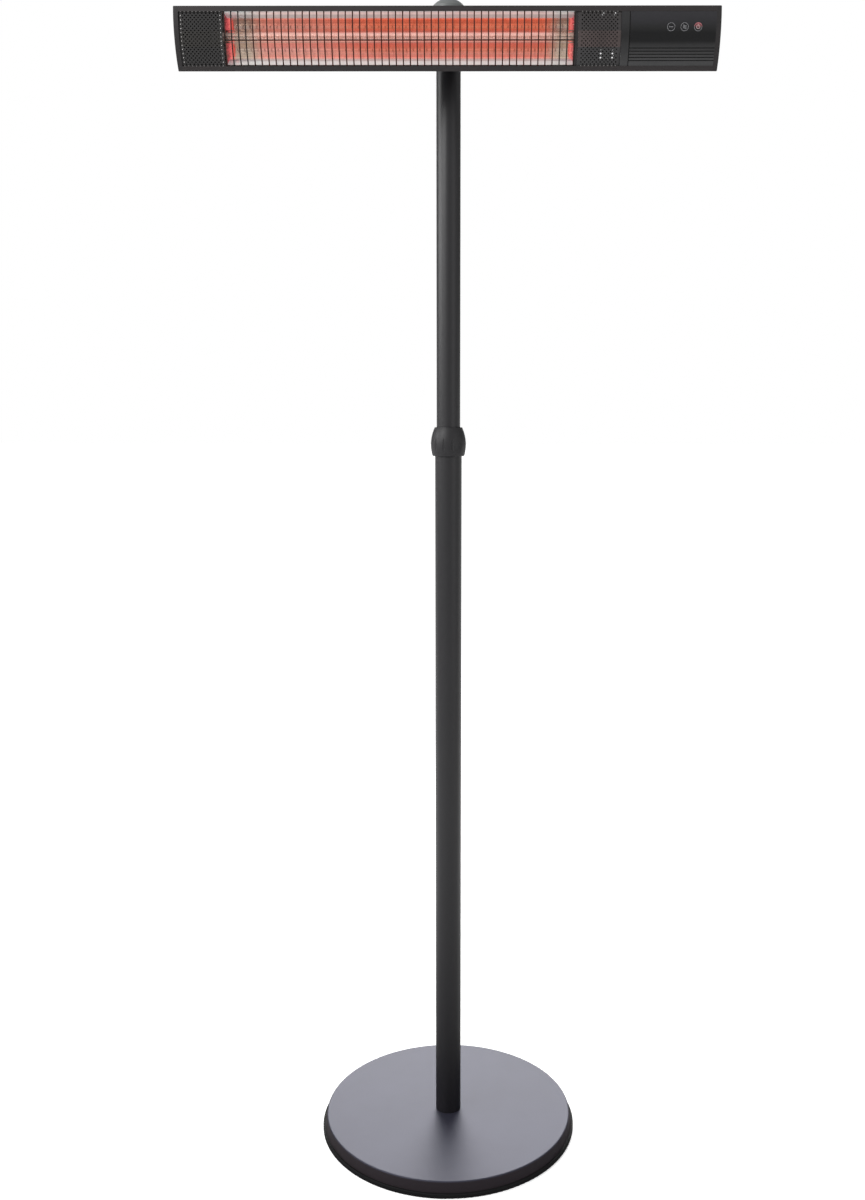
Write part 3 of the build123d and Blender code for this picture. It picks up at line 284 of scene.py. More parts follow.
def drawn_metal(name, color, rough, axis="X", metallic=1.0, depth=0.000008, head=False,
                gloss=0.5, glow=0.0, marks=1.0):
    """Metal with fine lines along one axis, from drawing, rolling or extruding.

    marks is how clearly the lines show.
    """
    g = Graph(name, Metallic=metallic, Specular_IOR_Level=gloss, Emission_Strength=glow,
              Emission_Color=(*color, 1.0))
    at = g.coords(head)
    across, lengthwise = 1500.0, 5.0
    stretch = [across, across, across]
    stretch["XYZ".index(axis)] = lengthwise
    lines = g.noise(g.scaled(at, *stretch), 1.0, 3.0, 0.6)
    cloud = g.noise(at, 28.0, 3.0)
    g.set(
        Base_Color=g.mix(g.vary(lines), shade(color, 1 - 0.18 * marks),
                         shade(color, 1 + 0.12 * marks)),
        Roughness=g.math("ADD", g.vary(lines, rough - 0.06 * marks, rough + 0.05 * marks),
                         g.span(cloud, 0.35, 0.65, -0.03 * marks, 0.03 * marks)),
        Normal=g.bump(lines, depth, 0.6),
    )
    return g.mat


def cast_metal(name, color, rough, metallic=0.9):
    """Cast or forged metal with a pebbled skin."""
    g = Graph(name, Metallic=metallic)
    at = g.coords()
    pebble = g.cells(at, 620.0)
    stain = g.noise(at, 60.0, 4.0, 0.6)
    g.set(
        Base_Color=g.mix(g.span(stain, 0.35, 0.7), shade(color, 0.7), shade(color, 1.15)),
        Roughness=g.vary(stain, rough - 0.08, rough + 0.1),
        Normal=g.bump(pebble, 0.00006, 0.5),
    )
    return g.mat


def glow_along(g, x):
    """1 where the lamp glows, falling to 0 over the unheated ends."""
    beyond, within = 16, 14
    left = g.span(x, (CORE[0] - beyond) * MM, (CORE[0] + within) * MM, smooth=True)
    right = g.span(x, (CORE[1] - within) * MM, (CORE[1] + beyond) * MM, 1.0, 0.0, smooth=True)
    return g.math("MULTIPLY", left, right)


def painted_red_along(g, x):
    """How deep the red of the painted glow is: paler towards the left end."""
    pale_until, deep_from = -0.27, -0.10
    return g.span(x, pale_until, deep_from, smooth=True)


def height_in_head(g, z):
    """0 to 1 over the height that the head's tones are spread over."""
    return g.span(z, -SHADE_Z * MM, SHADE_Z * MM)


def reflector_painted_glow():
    """Bright folded sheet with the lamp's light painted on: painted reflections in bands (white
    flares, red troughs) and a painted glow in streaks.
    """
    g = Graph("reflector_painted_glow")
    at = g.coords(head=True)
    x, _, z = g.axes(at)
    high = height_in_head(g, z)

    def bands(rim, flare, upper, middle, lower, edge, brow=None):
        """Bands of painted reflection up the sheet, with a painted shadow line along its lower
        edge: heights in millimetres, from its lower edge to its upper one.
        """
        brow = brow or rim
        stops = ((-38.9, (0.0, 0.0, 0.0)), (-38.1, rim), (-33.6, rim), (-32.6, flare),
                 (-29.6, flare), (-28, edge), (-23, edge), (-18, lower), (-10, lower),
                 (-5, middle), (10.5, middle), (13.5, upper), (28.8, upper), (30.2, flare),
                 (34.8, flare), (36, brow), (SHADE_Z, brow))
        return g.ramp(high, [((at_z + SHADE_Z) / (2 * SHADE_Z), color) for at_z, color in stops])

    # colours of the sheet, tinted with painted reflections of the glow: beyond the lamp's glow, at
    # its pale end and along the rest
    rim, flare = (0.82, 0.81, 0.80), (0.54, 0.54, 0.55)
    cold = bands(rim, flare, (0.38, 0.31, 0.26), (0.46, 0.40, 0.35), (0.38, 0.32, 0.27),
                 (0.44, 0.38, 0.33))
    pale = bands(rim, flare, (0.46, 0.20, 0.16), (0.46, 0.25, 0.20), (0.50, 0.23, 0.19),
                 (0.50, 0.30, 0.26))
    deep = bands(rim, flare, (0.46, 0.12, 0.07), (0.42, 0.15, 0.11), (0.46, 0.13, 0.08),
                 (0.48, 0.20, 0.16))
    # painted glow: emission for the lamp's light that it shows, in the same three places, the other
    # way round
    painted_glow_deep = bands((0.12, 0.17, 0.175), (0.15, 0.12, 0.11), (0.31, 0.08, 0.045),
                 (0.18, 0.09, 0.08), (0.31, 0.085, 0.06), (0.36, 0.15, 0.12),
                 brow=(0.19, 0.12, 0.115))
    soft = bands((0.10, 0.15, 0.16), (0.14, 0.13, 0.12), (0.28, 0.11, 0.085),
                 (0.20, 0.12, 0.10), (0.32, 0.13, 0.11), (0.38, 0.19, 0.16),
                 brow=(0.21, 0.15, 0.14))
    painted_glare_cold = bands((0.14, 0.15, 0.15), (0.10, 0.08, 0.08), (0.11, 0.06, 0.05),
                  (0.14, 0.11, 0.10), (0.17, 0.12, 0.09), (0.26, 0.22, 0.18))
    # streak: ripples in the sheet, and streaks in its painted glow
    streak = g.noise(g.scaled(at, 240.0, 1.0, 60.0), 1.0, 3.0, 0.6)
    glow, painted_red = glow_along(g, x), painted_red_along(g, x)
    trough = g.span(g.math("ABSOLUTE", z), TROUGH_OUT * MM, SHOULDER_Z * MM, 0.9, 0.25)
    g.set(
        Base_Color=g.mix(glow, cold, g.mix(painted_red, pale, deep)),
        Metallic=trough,
        Roughness=g.vary(streak, 0.05, 0.10),
        Emission_Color=g.mix(glow, painted_glare_cold, g.mix(painted_red, soft, painted_glow_deep)),
        Emission_Strength=g.vary(streak, 0.8, 1.2),
        Normal=g.bump(streak, 0.00004, 0.5),
    )
    return g.mat


def leaf_painted_glow():
    """Slanted end sheet with a painted reflection of the glow: dark red in front, coral further in,
    glowing by emission.
    """
    g = Graph("leaf_painted_glow", Metallic=0.6)
    at = g.coords()
    ripple = g.noise(g.scaled(at, 60.0, 90.0, 220.0), 1.0, 3.0, 0.6)
    inward = g.math("ADD", g.span(g.axes(at)[1], REFLECTOR_Y * MM, TROUGH_DEEP * MM),
                    g.vary(ripple, -0.12, 0.12))
    # painted reflection: a red glow, dark in front and coral further in
    red = g.ramp(inward, ((0.05, (0.10, 0.010, 0.014)), (0.3, (0.42, 0.035, 0.05)),
                          (0.6, (0.72, 0.13, 0.12)), (0.85, (0.60, 0.06, 0.045)),
                          (1.0, (0.25, 0.02, 0.015))))
    g.set(
        Base_Color=g.mix(0.6, red, (0.10, 0.05, 0.05)),
        Roughness=g.vary(ripple, 0.2, 0.34),
        Emission_Color=red,
        Emission_Strength=g.vary(ripple, 0.75, 1.0),
        Normal=g.bump(ripple, 0.0002, 0.4),
    )
    return g.mat


def guard_wire():
    """Black wire with a painted red glow where the lamp behind it is lit."""
    g = Graph("guard_wire", Specular_IOR_Level=0.15, Emission_Color=(0.30, 0.035, 0.02, 1.0))
    at = g.coords(head=True)
    x = g.axes(at)[0]
    grain = g.noise(g.scaled(at, 900.0, 900.0, 70.0), 1.0, 2.0)
    # painted glow: a red tint and faint emission where the lamp behind is lit
    painted_red = g.math("MULTIPLY", glow_along(g, x), g.vary(grain, 0.85, 1.1))
    g.set(
        Base_Color=g.mix(painted_red, (0.018, 0.013, 0.012), (0.030, 0.008, 0.006)),
        Roughness=g.vary(grain, 0.4, 0.55),
        Emission_Strength=g.math("MULTIPLY", painted_red, 0.04),
        Normal=g.bump(grain, 0.00001, 0.5),
    )
    return g.mat


def quartz():
    """Clear tube round the heater, with painted highlights glowing along its upper and lower thirds
    and a painted pink glow where the lamp is lit.
    """
    g = Graph("quartz_painted_highlight", Roughness=0.06, IOR=1.45, Transmission_Weight=1.0)
    at = g.coords(head=True)
    x, _, z = g.axes(at)
    draw = g.noise(g.scaled(at, 26.0, 500.0, 500.0), 1.0, 2.0)
    tube_r = 8.0
    rise = g.span(z, (LAMP_Z - tube_r) * MM, (LAMP_Z + tube_r) * MM)
    # painted highlights: emission bands up the tube
    painted_highlight = g.ramp(rise, ((0.0, (0.05, 0.035, 0.03)), (0.35, (0.08, 0.055, 0.05)),
                          (0.5, (0.02, 0.01, 0.01)), (0.62, (0.15, 0.11, 0.10)),
                          (0.8, (0.13, 0.10, 0.095)), (0.93, (0.02, 0.01, 0.01))))
    lit = g.math("MULTIPLY", g.span(glow_along(g, x), 0.0, 1.0, 0.35, 1.0),
                 g.vary(draw, 0.85, 1.1))
    g.set(
        Base_Color=g.mix(lit, (0.93, 0.91, 0.84), (0.90, 0.81, 0.77)),
        Emission_Color=painted_highlight,
        Emission_Strength=lit,
    )
    return g.mat


def glowing_coil():
    """Wound heating wire: patchy orange where it glows, grey at its cold ends."""
    g = Graph("glowing_coil", Roughness=0.6)
    at = g.coords()
    x = g.axes(at)[0]
    patch = g.noise(g.scaled(at, 120.0, 300.0, 300.0), 1.0, 2.0)
    lit = glow_along(g, x)
    g.set(
        Base_Color=g.mix(lit, (0.42, 0.39, 0.35), (0.74, 0.50, 0.44)),
        Emission_Color=g.mix(g.vary(patch), (1.0, 0.34, 0.22), (1.0, 0.50, 0.40)),
        Emission_Strength=g.math("MULTIPLY", lit, 0.10),
    )
    return g.mat


def perforated_paint(name, upper, middle, lower):
    """Dark paint of a mesh panel: its three flats differ a little in tone, painted shade and light
    for how much each catches.
    """
    g = Graph(name, Specular_IOR_Level=0.3)
    at = g.coords()
    grain = g.noise(at, 1400.0, 2.0)
    cloud = g.noise(at, 30.0, 2.0)
    z = g.axes(at)[2]
    soft = 0.5
    low = g.span(z, (-FLAT_EDGE - soft) * MM, (-FLAT_EDGE + soft) * MM)
    high = g.span(z, (FLAT_EDGE - soft) * MM, (FLAT_EDGE + soft) * MM)
    # painted shade and light: each flat gets its own tone for the light it catches
    tone = g.mix(high, g.mix(low, lower, middle), upper)
    g.set(
        Base_Color=g.mix(g.vary(cloud, 0.0, 0.3), tone, (0.010, 0.009, 0.009)),
        Roughness=g.vary(grain, 0.38, 0.52),
        Normal=g.bump(grain, 0.00002, 0.5),
    )
    return g.mat


def panel_plastic():
    """Satin moulding with a soft grain. Its tones are painted shade and highlight by height: a dark
    smoked band across its middle, lighter above, lighter ribs below, and painted shade in the
    grooves.
    """
    g = Graph("panel_satin", Specular_IOR_Level=0.3)
    at = g.coords(head=True)
    grit = g.noise(at, 2300.0, 2.0, 0.6)
    smear = g.noise(g.scaled(at, 10.0, 60.0, 60.0), 1.0, 2.0)
    x, y, z = g.axes(at)
    radius = g.distance(g.math("SUBTRACT", y, ARC_Y * MM), z)
    groove, shallow = 0.75, 0.15
    sunk = g.span(radius, (FACE_R - groove) * MM, (FACE_R - shallow) * MM, 1.0, 0.0)
    smoked, grey = (0.0025, 0.0025, 0.0030), (0.0300, 0.0300, 0.0310)
    high = height_in_head(g, z)
    # painted shade and highlight: the tone runs by height, dark across the middle and lighter
    # towards the top and the ribs
    band = g.ramp(high, (
        (0.0, shade(grey, 1.7)), (0.22, shade(grey, 1.35)), (0.40, shade(grey, 0.7)),
        (0.46, smoked), (0.60, smoked), (0.68, shade(grey, 0.35)),
        (0.80, (0.0200, 0.0195, 0.0225)), (1.0, (0.0310, 0.0300, 0.0345))))
    border = g.ramp(high, ((0.05, shade(grey, 1.4)), (0.55, shade(grey, 0.5)),
                           (0.95, shade(grey, 1.05))))
    tone = g.mix(g.span(x, PANEL_FACE * MM, (PANEL_FACE + 1.0) * MM), border, band)
    skin = g.mix(g.vary(smear, 0.0, 0.2), tone, smoked)
    g.set(
        # painted shade: the grooves are painted near black
        Base_Color=g.mix(sunk, skin, (0.002, 0.002, 0.002)),
        Roughness=g.math("ADD", g.vary(grit, 0.28, 0.38), g.math("MULTIPLY", sunk, 0.4)),
        Normal=g.bump(grit, 0.000012, 0.6),
    )
    return g.mat


def key_window(lit):
    """Dark window of a key; the lit one has a red light behind its upper half."""
    g = Graph("key_lit_window" if lit else "key_window", Specular_IOR_Level=0.3)
    at = g.coords(head=True)
    smudge = g.noise(at, 160.0, 3.0)
    g.set(Roughness=g.vary(smudge, 0.16, 0.3))
    if not lit:
        g.set(Base_Color=g.mix(g.vary(smudge), (0.010, 0.010, 0.011), (0.014, 0.0135, 0.015)))
        return g.mat
    spot_x, spot_z, full, gone = KEY_XS[-1] + 0.2, KEY_Z + 3.4, 0.5, 6.6
    x, _, z = g.axes(at)
    away = g.distance(g.math("SUBTRACT", x, spot_x * MM), g.math("SUBTRACT", z, spot_z * MM))
    spot = g.span(away, full * MM, gone * MM, 1.0, 0.0, smooth=True)
    g.set(
        Base_Color=g.mix(spot, (0.011, 0.010, 0.011), (0.10, 0.03, 0.03)),
        Emission_Color=g.mix(spot, (0.34, 0.02, 0.03), (0.72, 0.25, 0.27)),
        Emission_Strength=g.math("MULTIPLY", spot, 0.26),
    )
    return g.mat


def sign_ink(name, color, glow):
    """Slightly worn ink of the key signs, lit from behind."""
    g = Graph(name)
    fade = g.noise(g.coords(), 700.0, 2.0)
    tone = g.mix(g.vary(fade), shade(color, 0.85), shade(color, 1.1))
    g.set(
        Base_Color=tone,
        Roughness=g.vary(fade, 0.4, 0.55),
        Emission_Color=tone,
        Emission_Strength=glow,
    )
    return g.mat


def board_finish():
    """Green circuit board with faint copper tracks."""
    g = Graph("board_green")
    at = g.coords(head=True)
    x, _, z = g.axes(at)
    track_x = g.span(g.math("SINE", g.math("MULTIPLY", x, 2600.0)), 0.5, 0.8)
    track_z = g.span(g.math("SINE", g.math("MULTIPLY", z, 2100.0)), 0.6, 0.9)
    island = g.span(g.noise(at, 90.0, 2.0), 0.45, 0.5)
    track = g.math("MULTIPLY", g.math("MAXIMUM", track_x, track_z), island)
    g.set(
        Base_Color=g.mix(track, (0.012, 0.09, 0.035), (0.03, 0.17, 0.06)),
        Roughness=g.span(track, 0.0, 1.0, 0.35, 0.25),
        Normal=g.bump(track, 0.00004, 0.5),
    )
    return g.mat


MATERIALS = {
    "pole": powder_coat("pole_coat", (0.0040, 0.0034, 0.0050), 0.42, gloss=0.5),
    "base": base_coat(),
    "rubber": moulded("rim_rubber", (0.004, 0.004, 0.0045), 0.7, 0.6, 0.00003, gloss=0.2),
    "iron": cast_metal("cast_iron", (0.06, 0.058, 0.056), 0.62, metallic=0.4),
    "floor_plastic": moulded("floor_plastic", (0.02, 0.02, 0.021), 0.6),
    "steel": drawn_metal("plated_steel", (0.58, 0.57, 0.55), 0.3, "Z"),
    "black_steel": cast_metal("black_steel", (0.03, 0.03, 0.032), 0.45, metallic=0.5),
    "collar": moulded("collar_nylon", (0.010, 0.0095, 0.011), 0.5, 0.8, 0.00004, gloss=0.4),
    "bush": moulded("bush_nylon", (0.025, 0.025, 0.026), 0.5),
    "glide": moulded("glide_nylon", (0.5, 0.5, 0.48), 0.5),
    "socket": powder_coat("socket_coat", (0.014, 0.014, 0.015), 0.5, 0.7, 0.00005),
    "cap": moulded("cap_plastic", (0.16, 0.168, 0.165), 0.42),
    "casing": drawn_metal("casing_anodised", (0.030, 0.0262, 0.0268), 0.5, metallic=0.0,
                          depth=0.000001, head=True, gloss=0.2, marks=0.4),
    "end_cap": moulded("end_cap_plastic", (0.024, 0.0220, 0.0228), 0.5, head=True, gloss=0.22),
    "bracket": powder_coat("bracket_coat", (0.014, 0.014, 0.0145), 0.48, 0.9),
    "knob": moulded("knob_plastic", (0.013, 0.013, 0.0135), 0.5, 0.7, 0.00004),
    "guard": guard_wire(),
    # painted light: the right panel is a lighter, pinker copy of the left, for the light and glow
    # it catches
    "mesh_left": perforated_paint("mesh_paint_left", (0.011, 0.010, 0.010),
                                  (0.030, 0.028, 0.026), (0.026, 0.025, 0.025)),
    "mesh_right": perforated_paint("mesh_paint_right", (0.044, 0.040, 0.040),
                                   (0.076, 0.058, 0.056), (0.042, 0.041, 0.042)),
    "mirror": reflector_painted_glow(),
    "leaf": leaf_painted_glow(),
    # painted glow: the end plates' sheet is tinted red for the lamp's light
    "end_plate": drawn_metal("end_plate", (0.10, 0.045, 0.04), 0.4, "Z", head=True),
    "quartz": quartz(),
    "coil": glowing_coil(),
    # painted shade: the ceramics are painted dark grey for the shade behind the mesh
    "ceramic": moulded("ceramic_painted_shade", (0.10, 0.092, 0.08), 0.6, 0.5, 0.00003, head=True),
    "bright": drawn_metal("bright_sheet", (0.20, 0.19, 0.185), 0.36, head=True),
    "panel": panel_plastic(),
    "key": key_window(False),
    "key_lit": key_window(True),
    "board": board_finish(),
    "relay": moulded("relay_case", (0.03, 0.05, 0.12), 0.35, head=True),
    "sink": drawn_metal("sink_alloy", (0.55, 0.56, 0.57), 0.36, "Z", head=True),
    "terminal": moulded("terminal_plastic", (0.10, 0.22, 0.10), 0.45, head=True),
    "gland": moulded("gland_nylon", (0.018, 0.018, 0.019), 0.45, head=True),
    "ink": sign_ink("sign_ink", (0.26, 0.26, 0.27), 0.10),
    "ink_lit": sign_ink("sign_ink_lit", (0.50, 0.17, 0.19), 0.25),
    "ink_pink": sign_ink("sign_ink_pink", (0.36, 0.27, 0.27), 0.15),
    # painted glint: a pale lip that glows faintly, seen through the outer holes
    "glint_edge_painted": drawn_metal("glint_edge_painted", (0.75, 0.73, 0.71), 0.4, metallic=0.3, glow=0.22),
}
FINISH = {
    "pole": "lower_pole upper_pole",
    "base": "base_cover",
    "rubber": "base_rim",
    "iron": "base_weight",
    "floor_plastic": "base_floor_plate",
    "steel": "base_bolt base_washer mast_insert collar_ferrule pivot_bolt pivot_washer",
    "black_steel": "socket_screws bracket_bolts end_cap_screws",
    "collar": "height_collar",
    "bush": "clamp_bush",
    "glide": "upper_pole_glide",
    "socket": "tilt_socket",
    "cap": "mast_cap",
    "casing": "head_casing",
    "end_cap": "end_cap_left end_cap_right",
    "bracket": "head_bracket",
    "knob": "tilt_knob",
    "guard": "wire_guard",
    "mirror": "reflector",
    "quartz": "lamp_tube",
    "ceramic": "lamp_ceramics",
    "end_plate": "reflector_end_left reflector_end_right",
    "bright": "lamp_holder_left lamp_holder_right partition",
    "panel": "control_panel",
    "key": "key_low key_high",
    "key_lit": "key_power",
    "board": "control_board",
    "relay": "relay",
    "sink": "heat_sink",
    "terminal": "terminal_block",
    "gland": "cable_gland gland_locknut",
}
for finish, names in FINISH.items():
    for name in names.split():
        for place in NODES[name].material_slots:
            place.material = MATERIALS[finish]


# ------------------------------------------------------------------ added pieces
def in_head(mesh, finish, smooth=False, replaces=()):
    """Makes a piece, named as its mesh, that is placed in the level head and rides there."""
    piece = bpy.data.objects.new(mesh.name, mesh)
    bpy.context.scene.collection.objects.link(piece)
    piece.matrix_world = HEAD
    mesh.materials.append(MATERIALS[finish])
    for face in mesh.polygons:
        face.use_smooth = smooth
    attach(piece, "head")
    if replaces:
        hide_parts(*replaces)
    return piece


def mesh_of(name, points, faces):
    """A mesh from points in millimetres, with equal points merged."""
    mesh = bpy.data.meshes.new(name)
    mesh.from_pydata([Vector(point) * MM for point in points], [], faces)
    work = bmesh.new()
    work.from_mesh(mesh)
    bmesh.ops.remove_doubles(work, verts=work.verts, dist=2e-6)
    bmesh.ops.recalc_face_normals(work, faces=work.faces)
    work.to_mesh(mesh)
    work.free()
    return mesh


# ---- fine perforated panels: three flats across the bow, and a row of pale dots round the edge, a painted glint
MESH_T = 0.8
HOLE_PITCH, HOLE_ROW, HOLE_R = 6.2, 3.1, 1.3    # along X, up, and a hole's radius
HOLES_PAST = 2.0                    # how far the holes run on behind the lips
TRAY_TOP = 44.5
TRAY_FOLDS = (TRAY_TOP, MOUTH_TOP, FLAT_EDGE, -FLAT_EDGE, -MOUTH_TOP, -TRAY_TOP)
SHEET_EDGE = 44.3                   # where a sheet's flanges start
FLANGE_GAP = 0.3                    # between them and the casing's walls
# the pale lip is a painted glint
DOTS_TOP, DOTS_WIDE = 41.8, 3.4     # outer edge and width of the pale lip behind the outer holes
DOTS_BEHIND = (0.15, 0.55)          # its two faces, behind the sheet's back


def tray_y(z):
    """Y of the folded tray's face: straight between its folds, inside the bow."""
    z = max(min(z, TRAY_FOLDS[0]), TRAY_FOLDS[-1])
    for high, low in zip(TRAY_FOLDS, TRAY_FOLDS[1:]):
        if low <= z <= high:
            share = (z - low) / (high - low)
            return arc_y(TRAY_R, low) * (1 - share) + arc_y(TRAY_R, high) * share
    return arc_y(TRAY_R, z)


def perforated_sheet(name, start, end):
    """Sheet with staggered round holes, plain border strips and two flanges."""
    points, faces = [], []

    def face(corners):
        first = len(points)
        points.extend((x, tray_y(z), z) for x, z in corners)
        faces.append(tuple(range(first, len(points))))

    columns = int((end - start) / HOLE_PITCH)
    rows = int(2 * (MOUTH_TOP + HOLES_PAST) / HOLE_ROW)
    left = (start + end - columns * HOLE_PITCH) / 2
    low = -rows * HOLE_ROW / 2
    right, high = left + columns * HOLE_PITCH, low + rows * HOLE_ROW
    half_x, half_z = HOLE_PITCH / 2, HOLE_ROW / 2
    for row in range(rows):
        z = low + row * HOLE_ROW
        shifted = row % 2
        for column in range(columns - shifted):
            x = left + (column + shifted / 2) * HOLE_PITCH
            rim = [(x, z), (x + half_x, z), (x + HOLE_PITCH, z), (x + HOLE_PITCH, z + half_z),
                   (x + HOLE_PITCH, z + HOLE_ROW), (x + half_x, z + HOLE_ROW),
                   (x, z + HOLE_ROW), (x, z + half_z)]
            middle = (x + half_x, z + half_z)
            hole = []
            for corner in rim:
                away = Vector((corner[0] - middle[0], corner[1] - middle[1])).normalized()
                hole.append((middle[0] + away.x * HOLE_R, middle[1] + away.y * HOLE_R))
            for step in range(len(rim)):
                after = (step + 1) % len(rim)
                face([rim[step], rim[after], hole[after], hole[step]])
        if shifted:
            for x0, x1 in ((left, left + half_x), (right - half_x, right)):
                face([(x0, z), (x1, z), (x1, z + half_z), (x1, z + HOLE_ROW),
                      (x0, z + HOLE_ROW), (x0, z + half_z)])
    # plain borders, cut at the same steps as the holes' cells so that their points merge
    steps_z = [low + step * half_z for step in range(2 * rows + 1)]
    steps_x = [left + step * half_x for step in range(2 * columns + 1)]
    for x0, x1 in ((start, left), (right, end)):
        for z0, z1 in zip([-SHEET_EDGE, *steps_z], [*steps_z, SHEET_EDGE]):
            face([(x0, z0), (x1, z0), (x1, z1), (x0, z1)])
    for z0, z1 in ((-SHEET_EDGE, low), (high, SHEET_EDGE)):
        for x0, x1 in zip(steps_x, steps_x[1:]):
            face([(x0, z0), (x1, z0), (x1, z1), (x0, z1)])
    # flanges along the casing's top and bottom
    columns_x = [start, *steps_x, end]
    for side in (1, -1):
        front_y, front_z = tray_y(side * SHEET_EDGE), side * SHEET_EDGE
        back_z = side * (wall_z(TRAY_BACK_Y) - FLANGE_GAP)
        for x0, x1 in zip(columns_x, columns_x[1:]):
            first = len(points)
            points.extend([(x0, front_y, front_z), (x1, front_y, front_z),
                           (x1, TRAY_BACK_Y, back_z), (x0, TRAY_BACK_Y, back_z)])
            faces.append(tuple(range(first, first + 4)))
    return mesh_of(name, points, faces)


def edge_strips(name, start, end):
    """Pale lip behind the outermost holes, a painted glint that glows faintly and is seen through
    them as a dotted line.
    """
    points, faces = [], []

    def ribbon(x0, x1, z0, z1):
        longest = 4.0
        steps = max(1, int((z1 - z0) / longest))
        for step in range(steps):
            low = z0 + (z1 - z0) * step / steps
            high = z0 + (z1 - z0) * (step + 1) / steps
            first = len(points)
            for behind in DOTS_BEHIND:
                depth = MESH_T + behind
                points.extend([(x0, tray_y(low) + depth, low), (x1, tray_y(low) + depth, low),
                               (x1, tray_y(high) + depth, high), (x0, tray_y(high) + depth, high)])
            faces.append((first, first + 1, first + 2, first + 3))
            faces.append((first + 7, first + 6, first + 5, first + 4))
            for edge in range(4):
                if (edge == 0 and step) or (edge == 2 and step < steps - 1):
                    continue
                after = (edge + 1) % 4
                faces.append((first + after, first + edge, first + edge + 4, first + after + 4))

    inner_start, inner_end = start + DOTS_WIDE, end - DOTS_WIDE
    ribbon(start, inner_start, -DOTS_TOP, DOTS_TOP)
    ribbon(inner_end, end, -DOTS_TOP, DOTS_TOP)
    ribbon(inner_start, inner_end, DOTS_TOP - DOTS_WIDE, DOTS_TOP)
    ribbon(inner_start, inner_end, -DOTS_TOP, DOTS_WIDE - DOTS_TOP)
    return mesh_of(name, points, faces)


def trim_strip(name, start, end):
    """Plain strip folded like the mesh panels."""
    points, faces = [], []
    for z in (SHEET_EDGE, *TRAY_FOLDS[1:-1], -SHEET_EDGE):
        front = tray_y(z)
        points.extend([(start, front, z), (end, front, z), (end, front + MESH_T, z),
                       (start, front + MESH_T, z)])
    last = len(points) - 4
    for row in range(0, last, 4):
        for a in range(4):
            b = (a + 1) % 4
            faces.append((row + a, row + b, row + 4 + b, row + 4 + a))
    faces.append((3, 2, 1, 0))
    faces.append((last, last + 1, last + 2, last + 3))
    return mesh_of(name, points, faces)


TRIM_GAPS = (0.3, 0.2)              # from the guard, and to the mesh panel
in_head(trim_strip("window_trim_right", GUARD[1] + TRIM_GAPS[0], MESH_R[0] - TRIM_GAPS[1]),
        "end_cap")

for side, (start, end) in (("left", MESH_L), ("right", MESH_R)):
    sheet = in_head(perforated_sheet(f"fine_mesh_{side}", start, end), f"mesh_{side}",
                    replaces=[f"mesh_panel_{side}"])
    thick = sheet.modifiers.new("thickness", "SOLIDIFY")
    thick.thickness = MESH_T * MM
    thick.offset = -1.0
    in_head(edge_strips(f"mesh_edge_{side}", start, end), "glint_edge_painted")


# ---- slanted end leaves of the reflector, above and below the lamp
LEAF_SPANS = ((12.6, 37.8), (-37.8, -6.6))      # their heights
LEAF_T, LEAF_SLANT = 0.5, 7.0 / 46.0
LEAF_IN = 0.4                       # their front edges' distance from the reflector's ends
LEAF_FRONT, LEAF_LEAST = 0.6, 1.0   # behind the reflector's front edge: front, and back at least
LEAF_GAP = 0.5                      # between a leaf's back edge and the reflector


def trough_y(z):
    """Y of the reflector's surface at a height."""
    z = abs(z)
    if abs(z - TROUGH_Z) <= TROUGH_R:
        return TROUGH_FRONT + math.sqrt(TROUGH_R**2 - (z - TROUGH_Z) ** 2)
    if z > SHOULDER_Z:
        slope = (REFLECTOR_Y - SHOULDER_Y) / (REFLECTOR_EDGE - SHOULDER_Z)
        return SHOULDER_Y + (z - SHOULDER_Z) * slope
    if z > TROUGH_OUT:
        slope = (SHOULDER_Y - TROUGH_FRONT) / (SHOULDER_Z - TROUGH_OUT)
        return TROUGH_FRONT + (z - TROUGH_OUT) * slope
    return TROUGH_FRONT


def end_leaves(name, side):
    """Two bowed leaves that slant in from the window's end to the bottoms of the troughs."""
    points, faces = [], []
    front_x = PLATES[0] + LEAF_IN if side < 0 else PLATES[1] - LEAF_IN
    rows = 24
    for low, high in LEAF_SPANS:
        first = len(points)
        for row in range(rows + 1):
            z = low + (high - low) * row / rows
            back_y = max(trough_y(z) - LEAF_GAP, REFLECTOR_Y + LEAF_LEAST)
            for y in (REFLECTOR_Y + LEAF_FRONT, back_y):
                x = front_x - side * LEAF_SLANT * (y - REFLECTOR_Y)
                points.extend([(x, y, z), (x + side * LEAF_T, y, z)])
        for row in range(rows):
            a = first + 4 * row
            for i, j in ((0, 2), (3, 1), (2, 3), (1, 0)):
                faces.append((a + i, a + j, a + 4 + j, a + 4 + i))
        faces.append((first, first + 1, first + 3, first + 2))
        last = first + 4 * rows
        faces.append((last + 2, last + 3, last + 1, last))
    return mesh_of(name, points, faces)


for side, word in ((-1, "left"), (1, "right")):
    in_head(end_leaves(f"reflector_leaf_{word}", side), "leaf")


# ---- wound heating coil with its two leads
def tube_along(path, radius, sides):
    """Points and faces of a closed tube round a list of points."""
    points, faces = [], []
    count = len(path)
    aside = Vector((0.3, 0.9, 0.1))     # never along the path
    for index, point in enumerate(path):
        ahead = path[min(index + 1, count - 1)] - path[max(index - 1, 0)]
        ahead.normalize()
        across = ahead.cross(aside).normalized()
        up = ahead.cross(across)
        for side in range(sides):
            turn = 2 * math.pi * side / sides
            points.append(point + (across * math.cos(turn) + up * math.sin(turn)) * radius)
    for index in range(count - 1):
        for side in range(sides):
            a = index * sides + side
            b = index * sides + (side + 1) % sides
            faces.append((a, b, b + sides, a + sides))
    faces.append(tuple(reversed(range(sides))))
    faces.append(tuple(range((count - 1) * sides, count * sides)))
    return points, faces


